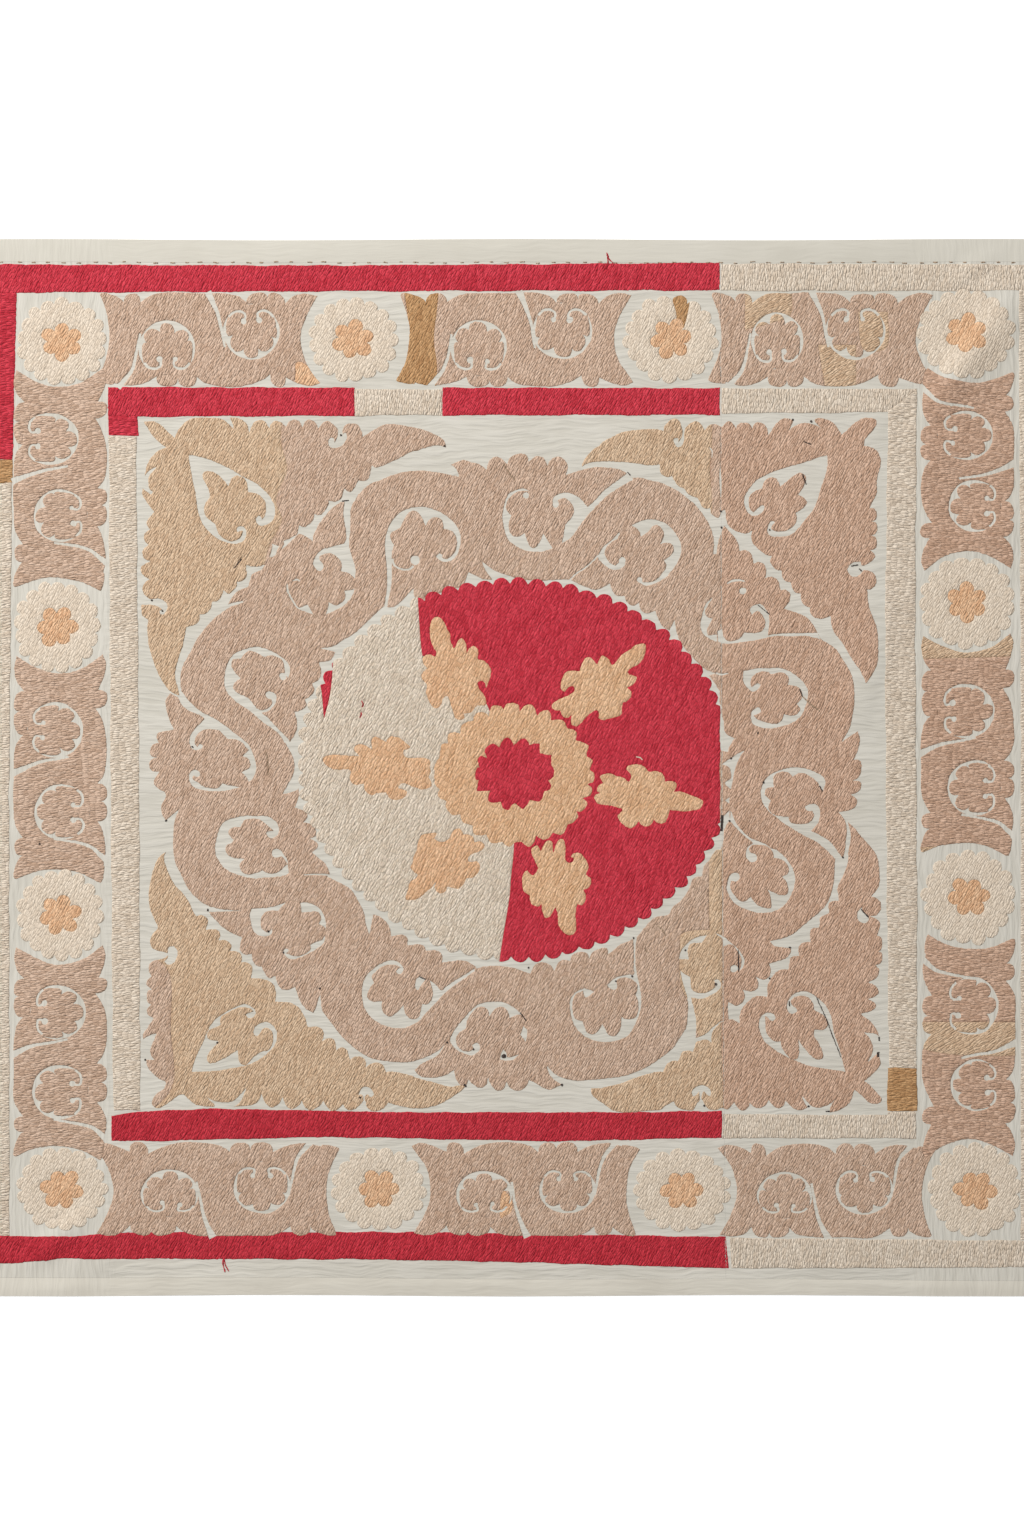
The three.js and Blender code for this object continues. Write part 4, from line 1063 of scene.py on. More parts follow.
change_thread({"scroll_top": "patch_brown"},
              drawn([(404, 290, 1), (439, 290, 1), (437, 310), (434, 340), (437, 365), (436, 392, 1),
                     (390, 392, 1), (400, 372), (408, 350), (409, 330), (407, 310)]))
change_thread({"scroll_top": "patch_peach"},
              drawn([(296, 372, 1), (308, 366), (326, 392, 1), (294, 392, 1)]))
change_thread({"flower_petals": "patch_brown"},
              drawn([(671, 296, 1), (680, 293), (689, 300), (688, 312), (684, 328, 1), (678, 326),
                     (676, 312)]))
change_thread({"scroll_bottom": "patch_orange"},
              drawn([(504, 1190, 1), (512, 1200), (511, 1212), (503, 1217, 1), (500, 1208)]))

# The right panel was worked from a rosier batch, and gold thread runs through some of the leaves.
GOLD_LEAF = {piece: "leaves_gold" for piece in LEAVES}
GOLD_TAN = {"wreath": "wreath_gold", "scroll_top": "scroll_gold", "scroll_right": "scroll_gold"}
change_thread({"wreath": "wreath_right"},
              straight((721.5, 420), (900, 420), (900, 1105), (725, 1105), (723, 760)))
THREAD_AREAS = [  # what changes, and the outline of the place
    (GOLD_LEAF, [
        (130, 410, 1), (284, 410, 1), (281, 440), (287, 470), (276, 500), (282, 520), (270, 545),
        (262, 575), (250, 620), (200, 700, 1), (130, 700, 1),
    ]),
    (GOLD_LEAF, [
        (575, 410, 1), (711, 410, 1), (712, 440), (710, 470), (712, 500), (711, 530, 1), (575, 530, 1),
    ]),
    ({"leaf_top_right": "leaf_top_seam"}, [(711, 400, 1), (721, 400, 1), (721, 540, 1), (711, 540, 1)]),
    (GOLD_LEAF, [
        (140, 840, 1), (240, 840, 1), (300, 980), (470, 1070), (480, 1120, 1), (140, 1120, 1), (172, 1088),
        (171, 1030), (168, 970), (140, 950, 1),
    ]),
    (GOLD_LEAF, [(580, 1020, 1), (721, 1000, 1), (722, 1060), (724, 1118, 1), (580, 1118, 1)]),
    (GOLD_TAN, [
        (680, 938, 1), (700, 930), (722, 936, 1), (722, 1020, 1), (700, 1037), (693, 1010), (681, 985),
    ]),
    (GOLD_TAN, [(711, 851, 1), (722, 849, 1), (722, 936, 1), (711, 934, 1), (709, 890)]),
    (GOLD_TAN, [(745, 290, 1), (792, 290, 1), (790, 316), (775, 322), (745, 330, 1)]),
    (GOLD_TAN, [(818, 345, 1), (856, 345, 1), (856, 392, 1), (826, 392, 1)]),
    (GOLD_TAN, [(858, 312, 1), (888, 312, 1), (886, 348), (864, 350)]),
    (GOLD_TAN, [(908, 636, 1), (1022, 636, 1), (1022, 655, 1), (966, 658), (908, 658, 1)]),
    (GOLD_TAN, [(915, 848, 1), (940, 846, 1), (936, 868), (918, 868)]),
    (GOLD_TAN, [(918, 1022, 1), (1024, 1022, 1), (1024, 1048, 1), (985, 1056), (918, 1046, 1)]),
]
for changes, outline in THREAD_AREAS:
    change_thread(changes, drawn(outline))


def seam_at(y):
    return SEAM_X + SEAM_LEAN * y + SEAM_BOW * y * y


def chart_y(y):
    return CHART_MIDDLE[1] - y / SQUARE


def chart_x(x):
    return CHART_MIDDLE[0] + x / SQUARE


SEAM_CHANNEL = 0.45  # chart squares wide
SEAM_ENDS = 0.96
SEAM_STEPS = np.linspace(-SEAM_ENDS, SEAM_ENDS, 9)
leave_bare(channel([(chart_x(seam_at(y)), chart_y(y), SEAM_CHANNEL) for y in SEAM_STEPS]))


# ---------------------------------------------------------------------------------------------------------
# Drawn ink that still shows, prick stitches along the heading and loose ends of thread
# ---------------------------------------------------------------------------------------------------------

INK_DOTS = [  # x, y, radius
    (193, 747.5, 1), (166, 820, 1.1), (208, 910, 1.2), (269, 932, 1), (283, 952, 1), (319.5, 989, 1.1),
    (447, 1042, 1), (473.5, 1049.5, 1.2), (504, 1056.6, 2.2), (528, 967, 1), (465, 1086, 1.1),
    (562, 1085, 1.2), (615.5, 981, 1), (632.5, 976, 1), (634, 938, 1), (685, 950, 1), (716, 984.5, 1.5),
    (704, 1105, 1.1), (757.5, 733, 1.1), (763, 782, 1), (731, 758.5, 1.1), (729.5, 821, 1),
    (790, 947, 1.1), (769.5, 978.5, 1), (843, 857, 1), (811, 421.4, 1.2), (793.4, 419.7, 1),
    (721.5, 511.6, 1.1), (721.5, 528, 1), (770, 529.7, 1), (217, 1043, 1.1), (145, 1060, 1),
    (341.5, 435.5, 1), (444.5, 446.5, 1), (152.5, 600.5, 1.1), (162, 611, 1), (809, 1106, 1),
    (361, 1098, 1), (464, 1085, 1), (40, 844, 1),
]
INK_LINES = [  # from x, y to x, y, width
    (420, 977, 426, 979.5, 1), (521, 1013, 526.5, 1021, 1.1), (738, 950, 738, 971, 0.8),
    (800, 690, 802.5, 697, 1), (819.5, 786, 822.5, 791, 1.1), (722.5, 815, 721.5, 831, 2.4),
    (861, 909, 869, 917, 1), (789, 1001, 789.6, 1006, 1), (851, 566, 858, 565, 1),
    (859, 569, 862, 571.5, 1), (803, 474, 806.5, 484, 1), (758, 605, 770, 615, 0.8),
    (878.7, 1037, 878.7, 1041, 1.2), (878, 1052, 878, 1057, 2), (826, 1111, 830, 1111, 1),
    (342, 501, 349, 500, 1), (234, 568, 241, 559, 0.9), (627, 472, 630, 475, 1),
    (817, 997, 841, 1057, 0.7), (804, 442, 811, 445, 0.8),
]
LOOSE_ENDS = [  # its thread, and x and y along it
    ("red", (606.5, 253), (607.5, 262), (605.5, 270)), ("red", (607, 254), (609, 260), (612, 263)),
    ("red", (223.5, 1256), (222.5, 1264), (224.5, 1272)),
    ("red", (223.5, 1256), (224.5, 1264), (228, 1271)), ("red", (362, 701), (363.5, 704), (362.5, 707)),
    ("red", (361, 712), (361.5, 714), (360.5, 717)), ("tan", (266, 751), (268.5, 763), (268, 775)),
    ("tan", (658, 926), (662, 929), (666, 935)), ("tan", (645, 948), (646, 950), (648, 952)),
    ("tan", (504, 463), (509, 472), (515, 480)), ("tan", (803, 697), (812, 705), (820, 711)),
    ("cream", (637, 757), (641, 758), (643, 760)),
]
LOOSE_WIDTH = 1.1
PRICK_STITCHES = 70
PRICK_WIDTH = 0.9
PRICK_EVERY = 15.3  # chart squares from one prick stitch to the next
PRICK_LINE = 262.6

for x, y, radius in INK_DOTS:
    stitch("ink", disc(x, y, radius, count=8))
for x, y, far_x, far_y, width in INK_LINES:
    stitch("ink", channel([(x, y, width), (far_x, far_y, width)]))
for thread_of_end, *line in LOOSE_ENDS:
    stitch("loose_" + thread_of_end, channel([(x, y, LOOSE_WIDTH) for x, y in line]))
pricks = random.Random(29)
for number in range(PRICK_STITCHES):
    x = -30 + PRICK_EVERY * number + pricks.uniform(-1.5, 1.5)
    y = PRICK_LINE + pricks.uniform(-0.4, 0.4)
    far_x = x + pricks.uniform(3, 5)
    far_y = y + pricks.uniform(-0.3, 0.5)
    stitch("prick_stitches", channel([(x, y, PRICK_WIDTH), (far_x, far_y, PRICK_WIDTH)]))


# ---------------------------------------------------------------------------------------------------------
# The lie of the cloth
# ---------------------------------------------------------------------------------------------------------


def swell(x, y, table):
    """Sum of soft oval mounds at places in metres."""
    height = np.zeros_like(x)
    for cx, cy, along, across, turn, high in table:
        dx, dy = x - cx * MM, y - cy * MM
        c, s = math.cos(math.radians(turn)), math.sin(math.radians(turn))
        a = (dx * c + dy * s) / (along * MM)
        b = (dy * c - dx * s) / (across * MM)
        height += high * MM * np.maximum(0, 1 - a * a - b * b) ** 2
    return height


def cotton_top(x, y):
    """Height of the cotton's upper side."""
    lie = swell(x, y, RIPPLES) + COTTON_THICK
    ease = EASE_HIGH * (np.sin(x * 31 + 2.1 * np.sin(y * 9)) * np.sin(y * 27 + 1.7 * np.sin(x * 11)) + 1)
    return lie + np.maximum(swell(x, y, CREASES), -DEEPEST) + ease


def outlined(x, y):
    """The slightly uneven outline of the cloth."""
    side, end = x / (WIDTH / 2), y / (HEIGHT / 2)
    in_side = SIDE_BOW[0] * (1 - np.cos(2 * math.pi * y / SIDE_BOW[1])) / 2
    in_end = END_BOW[0] * (1 - np.cos(2 * math.pi * x / END_BOW[1])) / 2
    return x - in_side * side**3, y - in_end * end**3


def on_cloth(chart):
    """Chart squares to metres."""
    return (chart[:, 0] - CHART_MIDDLE[0]) * SQUARE, (CHART_MIDDLE[1] - chart[:, 1]) * SQUARE


# ---------------------------------------------------------------------------------------------------------
# Cutting the chart into pieces of stitching
# ---------------------------------------------------------------------------------------------------------


def stray(outline, rng):
    """A hand-drawn line with the uneven ends of the stitches."""
    x, y = outline[:, 0], outline[:, 1]
    dx = np.sin(x * 0.085 + 1.3 * np.sin(y * 0.061)) + 0.6 * np.sin(y * 0.17 + x * 0.05 + 1.1)
    dy = np.sin(y * 0.079 + 1.5 * np.sin(x * 0.067) + 2.0) + 0.6 * np.sin(x * 0.16 - y * 0.06)
    shift = HAND_DRAWN * 0.6 * np.stack([dx, dy], 1)
    return outline + shift + rng.normal(0, UNEVEN_EDGE / 2, outline.shape)


def inside(outline, spots):
    """Which spots an outline goes round, even where it laps over itself."""
    low, high = outline.min(0), outline.max(0)
    found = np.zeros(len(spots), bool)
    near = np.nonzero(((spots > low) & (spots < high)).all(1))[0]
    x0, y0 = outline[:, 0], outline[:, 1]
    x1, y1 = np.roll(x0, -1), np.roll(y0, -1)
    for part in np.array_split(near, len(near) // 3000 + 1):
        px, py = spots[part, 0][:, None], spots[part, 1][:, None]
        left = (x1 - x0) * (py - y0) - (px - x0) * (y1 - y0)
        rising = ((y0 <= py) & (y1 > py) & (left > 0)).sum(1)
        falling = ((y0 > py) & (y1 <= py) & (left < 0)).sum(1)
        found[part] = rising != falling
    return found


def name_triangles(shapes, centres):
    """The piece that the topmost shape gives to each triangle, or None where the cotton is bare."""
    names = np.full(len(centres), None, object)
    still = np.arange(len(centres))
    changes = {}
    for kind, value, outline in reversed(shapes):
        hit = inside(outline, centres[still])
        if kind == "changed":
            for index in still[hit].tolist():
                changes.setdefault(index, []).append(value)
            continue
        for index in still[hit].tolist():
            name = value
            for change in reversed(changes.get(index, ())):
                name = change.get(name, name)
            names[index] = name
        still = still[~hit]
    return names.tolist()


def cut_chart():
    """The chart's lines, split where they cross, and the piece on each side of every line."""
    rng = np.random.default_rng(8)
    shapes = []
    for kind, value, outline in SHAPES:
        shapes.append((kind, value, outline if kind == "changed" else stray(outline, rng)))
    points, edges = [], []
    for _, _, outline in shapes:
        first, count = len(points), len(outline)
        points += [Vector(p) for p in outline.tolist()]
        edges += [(first + i, first + (i + 1) % count) for i in range(count)]
    verts, _, triangles, _, _, _ = delaunay_2d_cdt(points, edges, [], 0, 1e-4, False)
    spots = np.array([tuple(v) for v in verts])
    names = name_triangles(shapes, spots[np.array(triangles)].mean(1))
    sides = {}
    for triangle, name in zip(triangles, names):
        for a, b in zip(triangle, triangle[1:] + triangle[:1]):
            sides[a, b] = name
    border = {}
    for (a, b), name in sides.items():
        other = sides.get((b, a))
        if name != other and name is not None:
            border[a, b] = name
    used = sorted({v for edge in border for v in edge})
    number = {v: i for i, v in enumerate(used)}
    spots = np.array([verts[v] for v in used])
    return spots, {(number[a], number[b]): name for (a, b), name in border.items()}


def fill(spots, border, extra):
    """Triangles between the border lines and through the extra points, each with its piece's name."""
    points = [Vector(p) for p in np.vstack([spots, extra]).tolist()]
    edges = list({tuple(sorted(edge)) for edge in border})
    verts, _, triangles, origin, _, _ = delaunay_2d_cdt(points, edges, [], 0, 1e-4, True)
    first = [source[0] for source in origin]
    walls = {tuple(sorted(edge)) for edge in border}
    owner = {}
    for index, triangle in enumerate(triangles):
        for a, b in zip(triangle, triangle[1:] + triangle[:1]):
            owner[a, b] = index
    names = [None] * len(triangles)
    todo = []
    for (a, b), index in owner.items():
        name = border.get((first[a], first[b]))
        if name and names[index] is None:
            names[index] = name
            todo.append(index)
    while todo:
        index = todo.pop()
        triangle = triangles[index]
        for a, b in zip(triangle, triangle[1:] + triangle[:1]):
            if tuple(sorted((first[a], first[b]))) in walls:
                continue
            beyond = owner.get((b, a))
            if beyond is not None and names[beyond] is None:
                names[beyond] = names[index]
                todo.append(beyond)
    return np.array([tuple(v) for v in verts]), first, triangles, names


def distance_finder(spots, border):
    """A finder of the nearest border line, by points set closely along every line."""
    rows = []
    for a, b in {tuple(sorted(edge)) for edge in border}:
        count = max(1, math.ceil(math.dist(spots[a], spots[b]) / 0.4))
        t = np.arange(count)[:, None] / count
        rows.append(spots[a] * (1 - t) + spots[b] * t)
    rows = np.vstack(rows).tolist()
    tree = KDTree(len(rows))
    for index, (x, y) in enumerate(rows):
        tree.insert((x, y, 0), index)
    tree.balance()
    return tree


def inner_points(spots, border, tree):
    """Rows of points along the inside of every edge, and a loose grid over the rest."""
    chosen = []
    for row, every in ((FIRST_ROW, 1), (SECOND_ROW, 2)):
        for number, (a, b) in enumerate(sorted(border)):
            if number % every:
                continue
            way = spots[b] - spots[a]
            length = math.hypot(*way)
            if length < 0.5:
                continue
            middle = (spots[a] + spots[b]) / 2
            spot = (middle[0] - way[1] / length * row, middle[1] + way[0] / length * row)
            if tree.find((*spot, 0))[2] > row * 0.88:
                chosen.append(spot)
    rng = np.random.default_rng(5)
    xs = np.arange(-40, 1075, FILL_GRID)
    ys = np.arange(258, 1275, FILL_GRID * 0.866)
    for number, y in enumerate(ys):
        for x in xs:
            spot = (x + (number % 2) * FILL_GRID / 2 + rng.uniform(-0.6, 0.6), y + rng.uniform(-0.6, 0.6))
            if tree.find((*spot, 0))[2] > SECOND_ROW + 1.4:
                chosen.append(spot)
    return np.array(chosen)


def stitches_top(chart, depth):
    """Height of the stitching above the cotton, by its distance from the nearest edge."""
    rise = np.interp(depth, [0, FIRST_ROW, SECOND_ROW, 4], [EDGE_HIGH / STITCHES_HIGH, 0.8, 0.97, 1.0])
    x, y = chart[:, 0], chart[:, 1]
    uneven = 0.06 * np.sin(x * 0.9 + 1.7 * np.sin(y * 0.31)) * np.sin(y * 0.8 + 1.3 * np.sin(x * 0.27))
    return STITCHES_HIGH * (rise + uneven * np.minimum(depth, 1))


# Which way the stitches lie in each piece, in degrees from the chart's across
SLANTED, LEVEL, UPRIGHT = 62, 4, 84
WAY_OF_STITCHES = {
    "scroll_left": LEVEL, "scroll_right": -6, "band_cream_left": LEVEL, "band_cream_right": LEVEL,
    "inner_cream_left": LEVEL, "inner_cream_right": -5, "inner_red_stub": LEVEL, "band_red_left": LEVEL,
    "band_brown_left": LEVEL, "inner_brown_right": LEVEL, "band_cream_top": UPRIGHT,
    "band_cream_bottom": UPRIGHT, "inner_cream_top": UPRIGHT, "inner_cream_bottom": UPRIGHT,
    "scroll_gold": 30,
}


def mesh_piece(name, points, faces):
    mesh = bpy.data.meshes.new(name)
    mesh.from_pydata(points.tolist() if hasattr(points, "tolist") else points, [], faces)
    mesh.validate()
    mesh.polygons.foreach_set("use_smooth", np.ones(len(mesh.polygons), bool))
    mesh.update()
    piece = bpy.data.objects.new(name, mesh)
    bpy.context.collection.objects.link(piece)
    return piece


def lay_threads(piece, degrees):
    """A UV map whose first way runs along the stitches, in metres."""
    mesh = piece.data
    co = np.empty(len(mesh.vertices) * 3)
    mesh.vertices.foreach_get("co", co)
    co = co.reshape(-1, 3)
    c, s = math.cos(math.radians(degrees)), math.sin(math.radians(degrees))
    along = co[:, 0] * c + co[:, 1] * s
    across = co[:, 1] * c - co[:, 0] * s
    corner = np.empty(len(mesh.loops), np.int32)
    mesh.loops.foreach_get("vertex_index", corner)
    uv = mesh.uv_layers.new(name="stitches")
    uv.data.foreach_set("uv", np.stack([along[corner], across[corner]], 1).ravel())


def build_stitching():
    spots, border = cut_chart()
    tree = distance_finder(spots, border)
    chart, first, triangles, names = fill(spots, border, inner_points(spots, border, tree))
    _, _, backs, back_names = fill(spots, border, np.zeros((0, 2)))
    depth = np.array([tree.find((x, y, 0))[2] for x, y in chart.tolist()])
    depth[[i for i, f in enumerate(first) if f < len(spots)]] = 0
    x, y = on_cloth(chart)
    low = cotton_top(x, y) - STITCHES_SINK
    top = cotton_top(x, y) + stitches_top(chart, depth)
    proud = cotton_top(x, y) + STITCHES_HIGH
    where = {f: i for i, f in enumerate(first)}
    pieces = {}
    for name in sorted({n for n in names if n}):
        upper = [t for t, n in zip(triangles, names) if n == name]
        lower = [[where[v] for v in t] for t, n in zip(backs, back_names) if n == name]
        edges = {(a, b) for t in upper for a, b in zip(t, t[1:] + t[:1])}
        rim = [(a, b) for a, b in edges if (b, a) not in edges]
        above = sorted({v for t in upper for v in t})
        below = sorted({v for t in lower for v in t} | {v for e in rim for v in e})
        up = {v: i for i, v in enumerate(above)}
        down = {v: len(above) + i for i, v in enumerate(below)}
        high = proud if name.startswith(("ink", "loose", "prick")) else top
        points = [(x[v], y[v], high[v]) for v in above] + [(x[v], y[v], low[v]) for v in below]
        # the chart's down is the cloth's -Y, so every triangle is turned over
        faces = [(up[c], up[b], up[a]) for a, b, c in upper]
        faces += [(down[a], down[b], down[c]) for a, b, c in lower]
        for a, b in sorted(rim):
            faces += [(up[b], down[a], up[a]), (up[b], down[b], down[a])]
        piece = mesh_piece(name, points, faces)
        lay_threads(piece, WAY_OF_STITCHES.get(name, SLANTED))
        pieces[name] = piece
    return pieces


stitching = build_stitching()


# ---------------------------------------------------------------------------------------------------------
# The cotton
# ---------------------------------------------------------------------------------------------------------


def cotton(name, left, right, bottom, top, thick):
    """A sheet between four edges. left and right are functions of y, bottom and top are functions of x."""
    columns = max(2, round((right(0) - left(0)) / COTTON_CELL))
    rows = max(4, round((top(0) - bottom(0)) / COTTON_CELL))
    u = np.linspace(0, 1, columns + 1)[None, :]
    v = np.linspace(0, 1, rows + 1)[:, None]
    nominal = left(0) + (right(0) - left(0)) * u + 0 * v
    flat_y = bottom(nominal) + (top(nominal) - bottom(nominal)) * v
    flat_x = left(flat_y) + (right(flat_y) - left(flat_y)) * u
    x, y = outlined(flat_x, flat_y)
    high = cotton_top(x, y)
    if thick > COTTON_THICK:
        high = high + (thick - COTTON_THICK) * fold_profile(u, v, name)
    low = swell(x, y, RIPPLES) + np.maximum(swell(x, y, CREASES), 0)
    upper = np.stack([x, y, high], 2).reshape(-1, 3)
    lower = np.stack([x, y, low], 2).reshape(-1, 3)
    count, wide = len(upper), columns + 1
    faces = []
    for r in range(rows):
        for c in range(columns):
            a = r * wide + c
            faces.append((a, a + 1, a + 1 + wide, a + wide))
            faces.append((count + a, count + a + wide, count + a + 1 + wide, count + a + 1))
    for c in range(columns):
        a, b = c, rows * wide + c
        faces.append((a, count + a, count + a + 1, a + 1))
        faces.append((b + 1, count + b + 1, count + b, b))
    for r in range(rows):
        a, b = r * wide, r * wide + columns
        faces.append((a + wide, count + a + wide, count + a, a))
        faces.append((b, count + b, count + b + wide, b + wide))
    piece = mesh_piece(name, np.vstack([upper, lower]), faces)
    piece.data.set_sharp_from_angle(angle=math.radians(40))  # crisp cut edges
    lay_threads(piece, 0)
    return piece


def fold_profile(u, v, name):
    """How the doubled strips stand up between their sewn edge and their folded edge."""
    edge = np.minimum(v, 1 - v)
    plump = np.minimum(1, edge * 3.5)
    plump = plump * plump * (3 - 2 * plump)
    line = 0.12 * np.sin(u * 9 + v * 16) * np.sin(u * 23 + 1) * (edge > 0)
    return np.clip(plump + line, 0, 1.15)


half_gap = STITCHED_GAP / 2
heading_y = HEIGHT / 2 - HEADING_WIDTH


def foot_y(x):
    return FOOT_WIDTH - HEIGHT / 2 + FOOT_SLOPE * x


def left_edge(y):
    return -WIDTH / 2 + 0 * y


def right_edge(y):
    return WIDTH / 2 + 0 * y


panel_left = cotton("cotton_left", left_edge, lambda y: seam_at(y) - half_gap,
                    lambda x: foot_y(x) + half_gap, lambda x: heading_y - half_gap + 0 * x, COTTON_THICK)
panel_right = cotton("cotton_right", lambda y: seam_at(y) + half_gap, right_edge,
                     lambda x: foot_y(x) + half_gap, lambda x: heading_y - half_gap + 0 * x, COTTON_THICK)
heading = cotton("heading", left_edge, right_edge, lambda x: heading_y + half_gap + 0 * x,
                 lambda x: HEIGHT / 2 + 0 * x, STRIP_THICK)
foot = cotton("foot", left_edge, right_edge, lambda x: -HEIGHT / 2 + 0 * x,
              lambda x: foot_y(x) - half_gap, STRIP_THICK)


# ---------------------------------------------------------------------------------------------------------
# Materials
# ---------------------------------------------------------------------------------------------------------


# One stitch of the couching, and how far its row wavers
STITCH_LONG = 10.5 * MM
STITCH_WIDE = 3.7 * MM
STITCH_WAVER = 3 * MM
# How high a material's relief stands
STITCH_BUMP = 5 * MM
WEAVE_BUMP = 2.4 * MM
WEAVE_RELIEF = 0.5


def linear(srgb):
    return tuple((c / 12.92 if c <= 0.04045 else ((c + 0.055) / 1.055) ** 2.4) for c in srgb)


def shade(r, g, b):
    """A dyer's shade, given in 0 to 255 as on a shade card."""
    return (*linear((r / 255, g / 255, b / 255)), 1)


class Nodes:
    """Short names for adding nodes to a tree."""

    def __init__(self, tree):
        self.tree = tree

    def add(self, kind, **settings):
        node = self.tree.nodes.new(kind)
        inputs = settings.pop("inputs", {})
        for key, value in settings.items():
            setattr(node, key, value)
        for key, value in inputs.items():
            self.give(node.inputs[key], value)
        return node

    def give(self, socket, value):
        if isinstance(value, bpy.types.NodeSocket):
            self.tree.links.new(value, socket)
        else:
            socket.default_value = value

    def math(self, operation, a, b=0.0, clamp=False):
        node = self.add("ShaderNodeMath", operation=operation, use_clamp=clamp, inputs={0: a, 1: b})
        return node.outputs[0]

    def mix(self, amount, a, b):
        node = self.add("ShaderNodeMix", data_type="RGBA")
        self.give(node.inputs[0], amount)
        self.give(node.inputs[6], a)
        self.give(node.inputs[7], b)
        return node.outputs[2]

    def ramp(self, value, low, high):
        node = self.add("ShaderNodeMapRange", interpolation_type="SMOOTHSTEP",
                        inputs={"Value": value, "From Min": low, "From Max": high})
        return node.outputs[0]

    def stretch(self, vector, scale):
        node = self.add("ShaderNodeVectorMath", operation="MULTIPLY", inputs={0: vector, 1: scale})
        return node.outputs[0]

    def noise(self, vector, scale, detail=2.0, rough=0.5):
        return self.add("ShaderNodeTexNoise", inputs={"Vector": vector, "Scale": scale, "Detail": detail,
                                                      "Roughness": rough})


def group(name, inputs, outputs):
    tree = bpy.data.node_groups.new(name, "ShaderNodeTree")
    for label, kind, value in inputs:
        socket = tree.interface.new_socket(label, in_out="INPUT", socket_type=kind)
        socket.default_value = value
    for label, kind in outputs:
        tree.interface.new_socket(label, in_out="OUTPUT", socket_type=kind)
    return tree, tree.nodes.new("NodeGroupInput"), tree.nodes.new("NodeGroupOutput")


def make_stitch_group():
    """Couched stitches: short grains of thread side by side, each a little domed and of its own tone. Gap
    marks the valleys between them, where the thread materials paint shade.
    """
    tree, given, result = group(
        "couched stitches",
        [("Length", "NodeSocketFloat", STITCH_LONG), ("Pitch", "NodeSocketFloat", STITCH_WIDE),
         ("Waver", "NodeSocketFloat", STITCH_WAVER)],
        [("Height", "NodeSocketFloat"), ("Grain", "NodeSocketFloat"), ("Gap", "NodeSocketFloat"),
         ("Mottle", "NodeSocketFloat")],
    )
    n = Nodes(tree)
    uv = n.add("ShaderNodeUVMap", uv_map="stitches").outputs[0]
    sway = n.noise(uv, 28, 2)
    push = n.add("ShaderNodeVectorMath", operation="SUBTRACT",
                 inputs={0: sway.outputs["Color"], 1: (0.5, 0.5, 0.5)}).outputs[0]
    scaled = n.add("ShaderNodeVectorMath", operation="SCALE", inputs={0: push})
    n.give(scaled.inputs["Scale"], n.math("MULTIPLY", given.outputs["Waver"], 2.0))
    moved = n.add("ShaderNodeVectorMath", operation="ADD", inputs={0: uv, 1: scaled.outputs[0]}).outputs[0]
    size = n.add("ShaderNodeCombineXYZ",
                 inputs={0: given.outputs["Length"], 1: given.outputs["Pitch"], 2: 1.0})
    cells = n.add("ShaderNodeVectorMath", operation="DIVIDE",
                  inputs={0: moved, 1: size.outputs[0]}).outputs[0]
    grain = n.add("ShaderNodeTexVoronoi", voronoi_dimensions="2D", inputs={"Vector": cells, "Scale": 1.0,
                                                                          "Randomness": 0.85})
    spread = n.add("ShaderNodeTexVoronoi", voronoi_dimensions="2D", feature="DISTANCE_TO_EDGE",
                   inputs={"Vector": cells, "Scale": 1.0, "Randomness": 0.85})
    dome = n.math("SUBTRACT", 1.0, n.math("MULTIPLY", grain.outputs["Distance"], 1.1), clamp=True)
    # Gap: the valleys between the stitches, the mask for the painted shade in the thread materials
    gap = n.math("SUBTRACT", 1.0, n.ramp(spread.outputs["Distance"], 0.0, 0.16))
    fibre = n.noise(n.stretch(uv, (260, 1500, 1)), 1.0, 2).outputs["Fac"]
    rows = n.noise(n.stretch(moved, (90, 400, 1)), 1.0, 2).outputs["Fac"]
    raised = n.math("ADD", n.math("MULTIPLY", dome, 0.5), n.math("MULTIPLY", fibre, 0.1))
    n.give(result.inputs["Height"], n.math("ADD", raised, n.math("MULTIPLY", rows, 0.9)))
    split = n.add("ShaderNodeSeparateColor", inputs={0: grain.outputs["Color"]})
    n.give(result.inputs["Grain"], split.outputs[0])
    n.give(result.inputs["Gap"], gap)
    n.give(result.inputs["Mottle"], n.noise(uv, 14, 3, 0.6).outputs["Fac"])
    return tree


